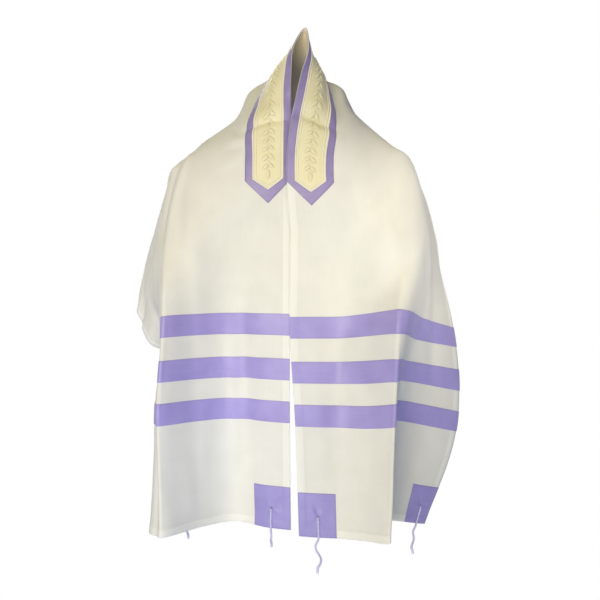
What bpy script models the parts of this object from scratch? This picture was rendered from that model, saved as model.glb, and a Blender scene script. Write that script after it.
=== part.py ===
"""Tallit prayer shawl, worn with its neckband standing up as a hood.

One long cloth is draped over a general figure's neck and shoulders and hangs open
in front. Purple ribbons, corner patches, a neckband and corner tassels are sewn on it.
Metres, +Z up, +X to the right seen from the front, +Y to the back. The origin is at
the base of the neck, where the wearer carries the shawl.
"""

import math

import bmesh
import bpy
import numpy as np

# Sizes of the flat cloth
CLOTH_LENGTH = 2.06
CLOTH_WIDTH = 0.50
CLOTH_WALL = 0.0015
HALF_LENGTH = CLOTH_LENGTH / 2

# Sizes of what is sewn on
SEAM_GAP = 0.0003
RIBBON_WALL = 0.0010
BAND_WIDTH = 0.093
BAND_CELLS = 6
CELL = BAND_WIDTH / BAND_CELLS
BAND_HALF_CELLS = 24
BAND_HALF_LENGTH = BAND_HALF_CELLS * CELL
PATCH_CELLS = 5
PATCH_WIDTH = PATCH_CELLS * CELL
PATCH_HEIGHT = 0.086
STRIPE_WIDTH = 0.043
STRIPE_BOTTOMS = (0.392, 0.302, 0.216)

# Sizes of the mesh
ROW_STEP = 0.030
PANEL_CELLS = 9
PATCH_COLUMNS = 3
PATCH_ROWS = 3

# Sizes of the tassels: a wound core, and strands that spread below it
EYELET_INSET = 0.040
TASSEL_GAP = 0.0004
CORE_RADIUS = 0.0022
CORE_RINGS = 4
CORE_BELOW_HEM = 0.013
CORE_DRIFT = 0.2
STRANDS = 8
STRAND_SHRINK = 0.55
STRAND_SEGMENTS = 8
STRAND_SPREAD = 0.6
STRAND_SPREAD_RANGE = 0.9
STRAND_UNEVEN = 0.14
STRAND_BENDS = 2.6

# Colours as linear red, green and blue
CLOTH_COLOUR = (0.74, 0.72, 0.62)
RIBBON_COLOUR = (0.36, 0.30, 0.60)
PANEL_COLOUR = (0.82, 0.76, 0.50)
THREAD_COLOUR = (0.75, 0.72, 0.82)

# Sections across the cloth, from the left hem over the centre back to the right hem.
# Each starts with its place along the cloth from the centre back. Its seven columns are
# the front edge, the middle of the neckband, the neckband's outer edge or the valley
# beside it, the collar or the panel's slope, the shoulder or the panel's ridge, the
# shoulder blade or the fold behind the ridge, and the outer edge. Each column holds the
# distance across the cloth and then x, y and z.
SECTIONS = (
    (-1.030, (0, -0.0125, -0.131, -0.803), (0.047, -0.058, -0.116, -0.802),
     (0.125, -0.130, -0.076, -0.801), (0.200, -0.196, -0.113, -0.802),
     (0.285, -0.266, -0.182, -0.803), (0.340, -0.294, -0.140, -0.806),
     (0.500, -0.219, 0.010, -0.826)),
    (-0.772, (0, -0.0148, -0.131, -0.545), (0.047, -0.060, -0.119, -0.544),
     (0.120, -0.128, -0.087, -0.543), (0.200, -0.200, -0.120, -0.543),
     (0.285, -0.272, -0.172, -0.544), (0.360, -0.285, -0.100, -0.548),
     (0.500, -0.252, 0.030, -0.592)),
    (-0.620, (0, -0.0145, -0.131, -0.393), (0.047, -0.061, -0.122, -0.392),
     (0.120, -0.131, -0.098, -0.392), (0.200, -0.203, -0.126, -0.393),
     (0.272, -0.262, -0.160, -0.396), (0.370, -0.268, -0.078, -0.410),
     (0.500, -0.270, 0.020, -0.468)),
    (-0.540, (0, -0.0135, -0.131, -0.313), (0.047, -0.0605, -0.126, -0.313),
     (0.120, -0.131, -0.108, -0.312), (0.200, -0.206, -0.130, -0.314),
     (0.268, -0.262, -0.147, -0.318), (0.370, -0.294, -0.066, -0.350),
     (0.500, -0.322, 0.010, -0.428)),
    (-0.450, (0, -0.0125, -0.131, -0.223), (0.047, -0.0595, -0.130, -0.224),
     (0.120, -0.132, -0.118, -0.226), (0.200, -0.211, -0.128, -0.226),
     (0.265, -0.264, -0.108, -0.226), (0.370, -0.308, -0.034, -0.268),
     (0.500, -0.347, 0.028, -0.362)),
    (-0.360, (0, -0.012, -0.129, -0.133), (0.047, -0.058, -0.132, -0.135),
     (0.100, -0.111, -0.131, -0.138), (0.190, -0.196, -0.108, -0.132),
     (0.290, -0.264, -0.035, -0.084), (0.390, -0.297, 0.018, -0.155),
     (0.500, -0.328, 0.056, -0.258)),
    (-0.275, (0, -0.012, -0.120, -0.048), (0.047, -0.058, -0.121, -0.050),
     (0.093, -0.104, -0.114, -0.052), (0.160, -0.163, -0.084, -0.042),
     (0.245, -0.214, -0.018, -0.020), (0.370, -0.256, 0.062, -0.105),
     (0.500, -0.272, 0.100, -0.228)),
    (-0.195, (0, -0.012, -0.106, 0.032), (0.047, -0.056, -0.102, 0.024),
     (0.093, -0.102, -0.084, 0.013), (0.160, -0.124, -0.028, 0.043),
     (0.240, -0.150, 0.045, 0.036), (0.370, -0.176, 0.114, -0.070),
     (0.500, -0.196, 0.133, -0.196)),
    (-0.115, (0, -0.0123, -0.090, 0.1156), (0.047, -0.049, -0.067, 0.110),
     (0.093, -0.0735, -0.022, 0.101), (0.150, -0.094, 0.022, 0.114),
     (0.240, -0.107, 0.085, 0.056), (0.370, -0.116, 0.125, -0.065),
     (0.500, -0.120, 0.140, -0.190)),
    (-0.040, (0, -0.004, -0.065, 0.190), (0.047, -0.022, -0.030, 0.168),
     (0.093, -0.036, 0.008, 0.150), (0.150, -0.042, 0.050, 0.130),
     (0.240, -0.045, 0.096, 0.047), (0.370, -0.045, 0.129, -0.080),
     (0.500, -0.045, 0.142, -0.208)),
    (0, (0, 0.017, -0.060, 0.221), (0.047, 0.013, -0.028, 0.187),
     (0.093, 0.008, 0.006, 0.157), (0.150, 0.003, 0.052, 0.131),
     (0.240, 0, 0.098, 0.048), (0.370, 0, 0.130, -0.080),
     (0.500, 0, 0.142, -0.210)),
    (0.040, (0, 0.0235, -0.069, 0.184), (0.047, 0.034, -0.030, 0.166),
     (0.093, 0.044, 0.008, 0.148), (0.150, 0.043, 0.050, 0.130),
     (0.240, 0.045, 0.096, 0.047), (0.370, 0.045, 0.129, -0.080),
     (0.500, 0.045, 0.142, -0.206)),
    (0.115, (0, 0.008, -0.092, 0.117), (0.047, 0.046, -0.068, 0.113),
     (0.093, 0.069, -0.022, 0.105), (0.150, 0.090, 0.020, 0.121),
     (0.240, 0.102, 0.083, 0.062), (0.370, 0.111, 0.125, -0.058),
     (0.500, 0.116, 0.140, -0.186)),
    (0.195, (0, -0.011, -0.112, 0.026), (0.047, 0.035, -0.107, 0.020),
     (0.093, 0.080, -0.087, 0.012), (0.160, 0.113, -0.032, 0.050),
     (0.240, 0.140, 0.043, 0.048), (0.370, 0.168, 0.112, -0.056),
     (0.500, 0.186, 0.132, -0.182)),
    (0.275, (0, -0.020, -0.126, -0.054), (0.047, 0.027, -0.126, -0.055),
     (0.093, 0.073, -0.118, -0.056), (0.160, 0.134, -0.090, -0.045),
     (0.245, 0.196, -0.020, -0.012), (0.370, 0.236, 0.062, -0.088),
     (0.500, 0.250, 0.108, -0.206)),
    (0.360, (0, -0.018, -0.135, -0.139), (0.047, 0.029, -0.136, -0.140),
     (0.100, 0.082, -0.132, -0.141), (0.190, 0.166, -0.105, -0.125),
     (0.290, 0.236, -0.033, -0.054), (0.390, 0.270, 0.028, -0.108),
     (0.500, 0.303, 0.072, -0.196)),
    (0.450, (0, -0.0105, -0.1345, -0.229), (0.047, 0.036, -0.132, -0.229),
     (0.100, 0.087, -0.122, -0.229), (0.200, 0.183, -0.135, -0.216),
     (0.300, 0.258, -0.078, -0.195), (0.390, 0.292, 0.002, -0.215),
     (0.500, 0.318, 0.062, -0.280)),
    (0.594, (0, -0.0115, -0.132, -0.373), (0.047, 0.035, -0.126, -0.373),
     (0.100, 0.087, -0.117, -0.373), (0.160, 0.143, -0.138, -0.366),
     (0.222, 0.197, -0.178, -0.357), (0.360, 0.266, -0.058, -0.380),
     (0.500, 0.346, 0.055, -0.405)),
    (0.790, (0, -0.0035, -0.132, -0.569), (0.047, 0.043, -0.128, -0.571),
     (0.090, 0.085, -0.121, -0.573), (0.150, 0.138, -0.145, -0.571),
     (0.215, 0.190, -0.184, -0.561), (0.295, 0.190, -0.106, -0.562),
     (0.500, 0.355, 0.040, -0.610)),
    (1.030, (0, 0.004, -0.132, -0.815), (0.047, 0.050, -0.130, -0.819),
     (0.085, 0.087, -0.126, -0.822), (0.140, 0.136, -0.152, -0.819),
     (0.205, 0.180, -0.190, -0.812), (0.290, 0.166, -0.106, -0.800),
     (0.500, 0.283, 0.050, -0.842)),
)

# Soft folds pushed out of the cloth: place along the cloth, half of the fold's width,
# its height, and where across the cloth it starts and is full
FOLDS = (
    (-0.230, 0.060, 0.016, 0.26, 0.46),
    (-0.085, 0.050, 0.013, 0.28, 0.48),
    (0.050, 0.050, 0.015, 0.27, 0.46),
    (0.180, 0.055, 0.014, 0.27, 0.48),
    (0.300, 0.050, 0.012, 0.30, 0.48),
)

# Tassels: name, side of the cloth, whether it hangs at the outer edge, length below the
# eyelet, drift in x and y at its end, and the sideways wave of its strands
TASSELS = (
    ("tassel_left_front", -1, False, 0.078, 0.002, -0.004, 0.0015),
    ("tassel_left_back", -1, True, 0.074, 0.010, -0.004, 0.0015),
    ("tassel_right_front", 1, False, 0.112, 0.003, -0.006, 0.0050),
    ("tassel_right_side", 1, True, 0.108, -0.010, -0.004, 0.0025),
)


def smooth_curve(knots, values, places):
    """Read a smooth curve through the values at the knots, at each place."""
    knots = np.asarray(knots, float)
    values = np.asarray(values, float)
    places = np.asarray(places, float)
    slopes = np.gradient(values, knots, axis=0)
    first = np.clip(np.searchsorted(knots, places, side="right") - 1, 0, len(knots) - 2)
    span = knots[first + 1] - knots[first]
    part = (places - knots[first]) / span
    shape = (len(places),) + (1,) * (values.ndim - 1)
    part = part.reshape(shape)
    span = span.reshape(shape)
    start_weight = 2 * part ** 3 - 3 * part ** 2 + 1
    end_weight = 3 * part ** 2 - 2 * part ** 3
    start_slope = (part ** 3 - 2 * part ** 2 + part) * span
    end_slope = (part ** 3 - part ** 2) * span
    curve = start_weight * values[first] + end_weight * values[first + 1]
    return curve + start_slope * slopes[first] + end_slope * slopes[first + 1]


def soft_step(value):
    """Go from 0 to 1 without a corner, and stay there."""
    value = np.clip(value, 0, 1)
    return value * value * (3 - 2 * value)


def grid_normals(points):
    """Normals of a grid of points, pointing away from the figure."""
    along = np.gradient(points, axis=0)
    across = np.gradient(points, axis=1)
    normals = np.cross(along, across)
    return normals / np.linalg.norm(normals, axis=2, keepdims=True)


def fold_heights(along, across):
    """How far the soft folds push the cloth out at each grid point."""
    heights = np.zeros((len(along), len(across)))
    for place, half_width, height, start, full in FOLDS:
        bump = np.exp(-((along - place) / half_width) ** 2)
        ramp = soft_step((across - start) / (full - start))
        heights += height * bump[:, None] * ramp[None, :]
    return heights


def drape(along, across):
    """Points and normals of the worn cloth's outer face on a grid of places."""
    places = [section[0] for section in SECTIONS]
    columns = [section[1:] for section in SECTIONS]
    rows = smooth_curve(places, columns, along)
    points = np.array([smooth_curve(row[:, 0], row[:, 1:], across) for row in rows])
    points = points + grid_normals(points) * fold_heights(along, across)[:, :, None]
    return points, grid_normals(points)


def split(start, end, step):
    """Places from start to end, evenly spaced by about a step, without the end."""
    count = max(1, round((end - start) / step))
    return [start + (end - start) * index / count for index in range(count)]


def lines_along():
    """Grid lines along the cloth, which meet every ribbon, patch and neckband edge."""
    half = [index * CELL for index in range(BAND_HALF_CELLS)]
    edges = [BAND_HALF_LENGTH]
    for bottom in STRIPE_BOTTOMS:
        edges += [HALF_LENGTH - bottom - STRIPE_WIDTH, HALF_LENGTH - bottom]
    edges.append(HALF_LENGTH - PATCH_HEIGHT)
    for start, end in zip(edges, edges[1:]):
        half += split(start, end, ROW_STEP)
    half += split(edges[-1], HALF_LENGTH, PATCH_HEIGHT / PATCH_ROWS)
    half.append(HALF_LENGTH)
    return np.array([-place for place in reversed(half[1:])] + half)


def lines_across():
    """Grid lines across the cloth, from the front edge to the outer edge."""
    lines = [index * CELL for index in range(BAND_CELLS)]
    outer_patch = CLOTH_WIDTH - PATCH_WIDTH
    lines += split(BAND_WIDTH, outer_patch, (outer_patch - BAND_WIDTH) / PANEL_CELLS)
    lines += split(outer_patch, CLOTH_WIDTH, PATCH_WIDTH / PATCH_COLUMNS)
    lines.append(CLOTH_WIDTH)
    return np.array(lines)


ALONG = lines_along()
ACROSS = lines_across()
POINTS, NORMALS = drape(ALONG, ACROSS)


def cell_triangles(row, column):
    """The two triangles of one grid cell, split along the neckband's pointed end."""
    corner = row * len(ACROSS) + column
    beside = corner + len(ACROSS)
    on_right = ALONG[row] + ALONG[row + 1] > 0
    in_point = ACROSS[column] < BAND_WIDTH - CELL / 2
    first_half = ACROSS[column] < BAND_WIDTH / 2 - CELL / 2 or not in_point
    if on_right == first_half:
        return [(corner, beside, beside + 1), (corner, beside + 1, corner + 1)]
    return [(corner, beside, corner + 1), (beside, beside + 1, corner + 1)]


def triangles_where(keep):
    """Grid triangles whose middle is inside a shape given by a test of its place."""
    places = [(along, across) for along in ALONG for across in ACROSS]
    chosen = []
    for row in range(len(ALONG) - 1):
        for column in range(len(ACROSS) - 1):
            for triangle in cell_triangles(row, column):
                middle_along = sum(places[corner][0] for corner in triangle) / 3
                middle_across = sum(places[corner][1] for corner in triangle) / 3
                if keep(middle_along, middle_across):
                    chosen.append(triangle)
    return chosen


def material(name, colour, roughness):
    """A Principled material of one colour."""
    made = bpy.data.materials.new(name)
    made.use_nodes = True
    shader = made.node_tree.nodes["Principled BSDF"]
    shader.inputs["Base Color"].default_value = (*colour, 1)
    shader.inputs["Roughness"].default_value = roughness
    shader.inputs["Metallic"].default_value = 0
    return made


def add_object(name, vertices, faces, finish):
    """Make one named object from its vertices and faces."""
    mesh = bpy.data.meshes.new(name)
    mesh.from_pydata([tuple(vertex) for vertex in vertices], [], faces)
    mesh.update()
    mesh.shade_smooth()
    mesh.set_sharp_from_angle(angle=math.radians(50))
    mesh.materials.append(finish)
    made = bpy.data.objects.new(name, mesh)
    bpy.context.scene.collection.objects.link(made)
    return made


def add_layer(name, triangles, low, high, finish):
    """A closed layer over some grid triangles, between two heights above the cloth."""
    used = sorted({corner for triangle in triangles for corner in triangle})
    order = {corner: index for index, corner in enumerate(used)}
    points = POINTS.reshape(-1, 3)[used]
    normals = NORMALS.reshape(-1, 3)[used]
    vertices = np.concatenate([points + normals * high, points + normals * low])
    count = len(used)
    top = [tuple(order[corner] for corner in triangle) for triangle in triangles]
    faces = list(top)
    faces += [(c + count, b + count, a + count) for a, b, c in top]
    edges = {(a, b) for face in top for a, b in zip(face, face[1:] + face[:1])}
    for a, b in sorted(edges):
        if (b, a) not in edges:
            faces.append((b, a, a + count))
            faces.append((b, a + count, b + count))
    return add_object(name, vertices, faces, finish)


def make_cloth(finish):
    """The one woven cloth, whose outer face is the grid itself."""
    add_layer("shawl_cloth", triangles_where(lambda along, across: True),
              -CLOTH_WALL, 0, finish)


def make_stripes(finish):
    """Three ribbons across each end of the cloth."""
    for side_name, side in (("left", -1), ("right", 1)):
        for number, bottom in enumerate(STRIPE_BOTTOMS, start=1):
            low_edge = HALF_LENGTH - bottom
            high_edge = low_edge - STRIPE_WIDTH
            ribbon = triangles_where(
                lambda along, across: high_edge < along * side < low_edge)
            add_layer(f"stripe_{side_name}_{number}", ribbon,
                      SEAM_GAP, SEAM_GAP + RIBBON_WALL, finish)


def make_patches(finish):
    """A square patch flush with each corner of the cloth."""
    start = HALF_LENGTH - PATCH_HEIGHT
    corners = (("left_front", -1, False), ("left_back", -1, True),
               ("right_front", 1, False), ("right_side", 1, True))
    for name, side, outer in corners:
        def in_patch(along, across):
            from_edge = CLOTH_WIDTH - across if outer else across
            return along * side > start and from_edge < PATCH_WIDTH
        add_layer(f"corner_patch_{name}", triangles_where(in_patch),
                  SEAM_GAP, SEAM_GAP + RIBBON_WALL, finish)


def in_neckband(along, across, inset):
    """Whether a place lies in the band with pointed ends, this far in from its edge."""
    from_middle = abs(across - BAND_WIDTH / 2)
    end = BAND_HALF_LENGTH - inset - from_middle
    return from_middle < BAND_WIDTH / 2 - inset and abs(along) < end


def make_neckband(ribbon_finish, panel_finish):
    """A purple band with pointed ends and a narrower cream panel on it."""
    band = triangles_where(lambda along, across: in_neckband(along, across, 0))
    add_layer("neckband_ribbon", band, SEAM_GAP, SEAM_GAP + RIBBON_WALL, ribbon_finish)
    panel = triangles_where(lambda along, across: in_neckband(along, across, CELL))
    low = 2 * SEAM_GAP + RIBBON_WALL
    add_layer("neckband_panel", panel, low, low + RIBBON_WALL, panel_finish)


def tassel_route(side, outer, length, drift_x, drift_y):
    """Middle line of a tassel's wound core, down the patch and past the hem."""
    lift = SEAM_GAP + RIBBON_WALL + TASSEL_GAP + CORE_RADIUS
    across = CLOTH_WIDTH - EYELET_INSET if outer else EYELET_INSET
    steps = np.array([-CORE_RADIUS, 0, CORE_RADIUS])
    route = []
    for above_hem in np.linspace(EYELET_INSET, 0, CORE_RINGS):
        along = side * (HALF_LENGTH - above_hem)
        points, normals = drape(along + steps, across + steps)
        route.append(points[1, 1] + normals[1, 1] * lift)
    fall = np.array([drift_x * CORE_DRIFT, drift_y * CORE_DRIFT, -CORE_BELOW_HEM])
    route.append(route[-1] + fall)
    return np.array(route)


def ring_around(centre, direction, radius, sides):
    """Corners of a ring square to a direction."""
    direction = direction / np.linalg.norm(direction)
    side_way = np.cross(direction, np.array([0, 1.0, 0]))
    side_way /= np.linalg.norm(side_way)
    other_way = np.cross(direction, side_way)
    angles = [2 * math.pi * index / sides for index in range(sides)]
    return [centre + radius * (math.cos(a) * side_way + math.sin(a) * other_way)
            for a in angles]


def shuffled(index, stride):
    """A share from 0 to 1 for each strand, in mixed order."""
    return index * stride % STRANDS / (STRANDS - 1)


def make_tassel(name, side, outer, length, drift_x, drift_y, wave, finish):
    """A wound core with eight strands that leave the facets of its lower end."""
    route = tassel_route(side, outer, length, drift_x, drift_y)
    vertices = []
    faces = []
    directions = np.gradient(route, axis=0)
    for centre, direction in zip(route, directions):
        vertices += ring_around(centre, direction, CORE_RADIUS, STRANDS)
    for ring in range(len(route) - 1):
        for index in range(STRANDS):
            a = ring * STRANDS + index
            b = ring * STRANDS + (index + 1) % STRANDS
            faces.append((a, a + STRANDS, b + STRANDS))
            faces.append((a, b + STRANDS, b))
    top = len(vertices)
    vertices.append(route[0])
    faces += [(top, index, (index + 1) % STRANDS) for index in range(STRANDS)]
    bottom = len(vertices)
    vertices.append(route[-1])
    last_ring = (len(route) - 1) * STRANDS
    strand_fall = length - EYELET_INSET - CORE_BELOW_HEM
    for index in range(STRANDS):
        sector = [bottom, last_ring + (index + 1) % STRANDS, last_ring + index]
        middle = sum(vertices[corner] for corner in sector) / 3
        outline = [vertices[corner] for corner in sector]
        root = [middle + (point - middle) * STRAND_SHRINK for point in outline]
        rings = [root]
        outward = middle - route[-1]
        reach = STRAND_SPREAD + STRAND_SPREAD_RANGE * shuffled(index, 5)
        fall = strand_fall * (1 - STRAND_UNEVEN * shuffled(index, 3))
        for segment in range(1, STRAND_SEGMENTS + 1):
            part = segment / STRAND_SEGMENTS
            sway = wave * math.sin(part * STRAND_BENDS * math.pi) * math.sqrt(part)
            hang = np.array([drift_x * part + sway, drift_y * part, -fall * part])
            offset = outward * reach * part + hang
            rings.append([point + offset for point in root])
        start = len(vertices)
        for ring in rings:
            vertices += ring
        for corner in range(3):
            following = (corner + 1) % 3
            faces.append((sector[corner], sector[following], start + following))
            faces.append((sector[corner], start + following, start + corner))
            for segment in range(STRAND_SEGMENTS):
                a = start + segment * 3 + corner
                b = start + segment * 3 + following
                faces.append((a, b, b + 3))
                faces.append((a, b + 3, a + 3))
        end = start + STRAND_SEGMENTS * 3
        faces.append((end, end + 1, end + 2))
    made = add_object(name, vertices, faces, finish)
    turn_outward(made)
    return made


def turn_outward(made):
    """Point every face of a closed mesh outward."""
    working = bmesh.new()
    working.from_mesh(made.data)
    bmesh.ops.recalc_face_normals(working, faces=working.faces)
    working.to_mesh(made.data)
    working.free()


def main():
    for old in list(bpy.data.objects):
        bpy.data.objects.remove(old, do_unlink=True)
    cloth = material("white_twill", CLOTH_COLOUR, 0.85)
    ribbon = material("purple_satin", RIBBON_COLOUR, 0.45)
    panel = material("cream_satin", PANEL_COLOUR, 0.55)
    thread = material("tassel_thread", THREAD_COLOUR, 0.9)
    make_cloth(cloth)
    make_stripes(ribbon)
    make_patches(ribbon)
    make_neckband(ribbon, panel)
    for name, side, outer, length, drift_x, drift_y, wave in TASSELS:
        make_tassel(name, side, outer, length, drift_x, drift_y, wave, thread)


main()
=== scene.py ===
"""Looks of the tallit prayer shawl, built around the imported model.

Everything sewn on the cloth is described by its place along the cloth, its place across
the cloth and its height above the cloth, and is then moved onto the worn shape.
"""

import math

import bmesh
import bpy
import numpy as np
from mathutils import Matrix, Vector


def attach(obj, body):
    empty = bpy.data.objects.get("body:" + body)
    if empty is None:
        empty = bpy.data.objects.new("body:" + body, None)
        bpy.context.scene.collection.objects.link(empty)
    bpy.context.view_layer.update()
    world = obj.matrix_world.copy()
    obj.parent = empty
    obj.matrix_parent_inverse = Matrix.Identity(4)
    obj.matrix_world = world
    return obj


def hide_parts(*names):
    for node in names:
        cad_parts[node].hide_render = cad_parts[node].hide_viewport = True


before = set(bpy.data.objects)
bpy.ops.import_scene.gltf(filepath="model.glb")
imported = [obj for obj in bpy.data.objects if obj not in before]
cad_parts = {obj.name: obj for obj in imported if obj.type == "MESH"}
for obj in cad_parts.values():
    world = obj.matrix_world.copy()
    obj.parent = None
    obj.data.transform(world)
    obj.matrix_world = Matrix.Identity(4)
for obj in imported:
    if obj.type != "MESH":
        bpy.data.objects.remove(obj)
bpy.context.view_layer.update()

# Sizes of the flat cloth and of what is sewn on it, in metres
CLOTH_LENGTH = 2.06
CLOTH_WIDTH = 0.50
HALF_LENGTH = CLOTH_LENGTH / 2
CLOTH_WALL = 0.0012
BAND_WIDTH = 0.093
BAND_MIDDLE = BAND_WIDTH / 2
BAND_HALF_LENGTH = 0.372
PATCH_WIDTH = 0.0775
PATCH_HEIGHT = 0.086
EYELET_INSET = 0.040
STRIPE_WIDTH = 0.043
STRIPE_BOTTOMS = (0.392, 0.302, 0.216)
HEM_WIDTH = 0.015
HEM_HEIGHT = 0.0005
HEM_STEP = 0.002

# Sections across the cloth, from the left hem over the centre back to the right hem.
# Each starts with its place along the cloth from the centre back. Its seven columns are
# the front edge, the middle of the neckband, the neckband's outer edge or the valley
# beside it, the collar or the panel's slope, the shoulder or the panel's ridge, the
# shoulder blade or the fold behind the ridge, and the outer edge. Each column holds the
# distance across the cloth and then x, y and z.
SECTIONS = (
    (-1.030, (0, -0.0125, -0.131, -0.803), (0.047, -0.058, -0.116, -0.802),
     (0.125, -0.130, -0.076, -0.801), (0.200, -0.196, -0.113, -0.802),
     (0.285, -0.266, -0.182, -0.803), (0.340, -0.294, -0.140, -0.806),
     (0.500, -0.219, 0.010, -0.826)),
    (-0.772, (0, -0.0148, -0.131, -0.545), (0.047, -0.060, -0.119, -0.544),
     (0.120, -0.128, -0.087, -0.543), (0.200, -0.200, -0.120, -0.543),
     (0.285, -0.272, -0.172, -0.544), (0.360, -0.285, -0.100, -0.548),
     (0.500, -0.252, 0.030, -0.592)),
    (-0.620, (0, -0.0145, -0.131, -0.393), (0.047, -0.061, -0.122, -0.392),
     (0.120, -0.131, -0.098, -0.392), (0.200, -0.203, -0.126, -0.393),
     (0.272, -0.262, -0.160, -0.396), (0.370, -0.268, -0.078, -0.410),
     (0.500, -0.270, 0.020, -0.468)),
    (-0.540, (0, -0.0135, -0.131, -0.313), (0.047, -0.0605, -0.126, -0.313),
     (0.120, -0.131, -0.108, -0.312), (0.200, -0.206, -0.130, -0.314),
     (0.268, -0.262, -0.147, -0.318), (0.370, -0.294, -0.066, -0.350),
     (0.500, -0.322, 0.010, -0.428)),
    (-0.450, (0, -0.0125, -0.131, -0.223), (0.047, -0.0595, -0.130, -0.224),
     (0.120, -0.132, -0.118, -0.226), (0.200, -0.211, -0.128, -0.226),
     (0.265, -0.264, -0.108, -0.226), (0.370, -0.308, -0.034, -0.268),
     (0.500, -0.347, 0.028, -0.362)),
    (-0.360, (0, -0.012, -0.129, -0.133), (0.047, -0.058, -0.132, -0.135),
     (0.100, -0.111, -0.131, -0.138), (0.190, -0.196, -0.108, -0.132),
     (0.290, -0.264, -0.035, -0.084), (0.390, -0.297, 0.018, -0.155),
     (0.500, -0.328, 0.056, -0.258)),
    (-0.275, (0, -0.012, -0.120, -0.048), (0.047, -0.058, -0.121, -0.050),
     (0.093, -0.104, -0.114, -0.052), (0.160, -0.163, -0.084, -0.042),
     (0.245, -0.214, -0.018, -0.020), (0.370, -0.256, 0.062, -0.105),
     (0.500, -0.272, 0.100, -0.228)),
    (-0.195, (0, -0.012, -0.106, 0.032), (0.047, -0.056, -0.102, 0.024),
     (0.093, -0.102, -0.084, 0.013), (0.160, -0.124, -0.028, 0.043),
     (0.240, -0.150, 0.045, 0.036), (0.370, -0.176, 0.114, -0.070),
     (0.500, -0.196, 0.133, -0.196)),
    (-0.115, (0, -0.0123, -0.090, 0.1156), (0.047, -0.049, -0.067, 0.110),
     (0.093, -0.0735, -0.022, 0.101), (0.150, -0.094, 0.022, 0.114),
     (0.240, -0.107, 0.085, 0.056), (0.370, -0.116, 0.125, -0.065),
     (0.500, -0.120, 0.140, -0.190)),
    (-0.040, (0, -0.004, -0.065, 0.190), (0.047, -0.022, -0.030, 0.168),
     (0.093, -0.036, 0.008, 0.150), (0.150, -0.042, 0.050, 0.130),
     (0.240, -0.045, 0.096, 0.047), (0.370, -0.045, 0.129, -0.080),
     (0.500, -0.045, 0.142, -0.208)),
    (0, (0, 0.017, -0.060, 0.221), (0.047, 0.013, -0.028, 0.187),
     (0.093, 0.008, 0.006, 0.157), (0.150, 0.003, 0.052, 0.131),
     (0.240, 0, 0.098, 0.048), (0.370, 0, 0.130, -0.080),
     (0.500, 0, 0.142, -0.210)),
    (0.040, (0, 0.0235, -0.069, 0.184), (0.047, 0.034, -0.030, 0.166),
     (0.093, 0.044, 0.008, 0.148), (0.150, 0.043, 0.050, 0.130),
     (0.240, 0.045, 0.096, 0.047), (0.370, 0.045, 0.129, -0.080),
     (0.500, 0.045, 0.142, -0.206)),
    (0.115, (0, 0.008, -0.092, 0.117), (0.047, 0.046, -0.068, 0.113),
     (0.093, 0.069, -0.022, 0.105), (0.150, 0.090, 0.020, 0.121),
     (0.240, 0.102, 0.083, 0.062), (0.370, 0.111, 0.125, -0.058),
     (0.500, 0.116, 0.140, -0.186)),
    (0.195, (0, -0.011, -0.112, 0.026), (0.047, 0.035, -0.107, 0.020),
     (0.093, 0.080, -0.087, 0.012), (0.160, 0.113, -0.032, 0.050),
     (0.240, 0.140, 0.043, 0.048), (0.370, 0.168, 0.112, -0.056),
     (0.500, 0.186, 0.132, -0.182)),
    (0.275, (0, -0.020, -0.126, -0.054), (0.047, 0.027, -0.126, -0.055),
     (0.093, 0.073, -0.118, -0.056), (0.160, 0.134, -0.090, -0.045),
     (0.245, 0.196, -0.020, -0.012), (0.370, 0.236, 0.062, -0.088),
     (0.500, 0.250, 0.108, -0.206)),
    (0.360, (0, -0.018, -0.135, -0.139), (0.047, 0.029, -0.136, -0.140),
     (0.100, 0.082, -0.132, -0.141), (0.190, 0.166, -0.105, -0.125),
     (0.290, 0.236, -0.033, -0.054), (0.390, 0.270, 0.028, -0.108),
     (0.500, 0.303, 0.072, -0.196)),
    (0.450, (0, -0.0105, -0.1345, -0.229), (0.047, 0.036, -0.132, -0.229),
     (0.100, 0.087, -0.122, -0.229), (0.200, 0.183, -0.135, -0.216),
     (0.300, 0.258, -0.078, -0.195), (0.390, 0.292, 0.002, -0.215),
     (0.500, 0.318, 0.062, -0.280)),
    (0.594, (0, -0.0115, -0.132, -0.373), (0.047, 0.035, -0.126, -0.373),
     (0.100, 0.087, -0.117, -0.373), (0.160, 0.143, -0.138, -0.366),
     (0.222, 0.197, -0.178, -0.357), (0.360, 0.266, -0.058, -0.380),
     (0.500, 0.346, 0.055, -0.405)),
    (0.790, (0, -0.0035, -0.132, -0.569), (0.047, 0.043, -0.128, -0.571),
     (0.090, 0.085, -0.121, -0.573), (0.150, 0.138, -0.145, -0.571),
     (0.215, 0.190, -0.184, -0.561), (0.295, 0.190, -0.106, -0.562),
     (0.500, 0.355, 0.040, -0.610)),
    (1.030, (0, 0.004, -0.132, -0.815), (0.047, 0.050, -0.130, -0.819),
     (0.085, 0.087, -0.126, -0.822), (0.140, 0.136, -0.152, -0.819),
     (0.205, 0.180, -0.190, -0.812), (0.290, 0.166, -0.106, -0.800),
     (0.500, 0.283, 0.050, -0.842)),
)

# Soft folds pushed out of the back: place along the cloth, half of the fold's width,
# its height, and where across the cloth it starts and is full
FOLDS = (
    (-0.230, 0.060, 0.016, 0.26, 0.46),
    (-0.085, 0.050, 0.013, 0.28, 0.48),
    (0.050, 0.050, 0.015, 0.27, 0.46),
    (0.180, 0.055, 0.014, 0.27, 0.48),
    (0.300, 0.050, 0.012, 0.30, 0.48),
)

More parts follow.
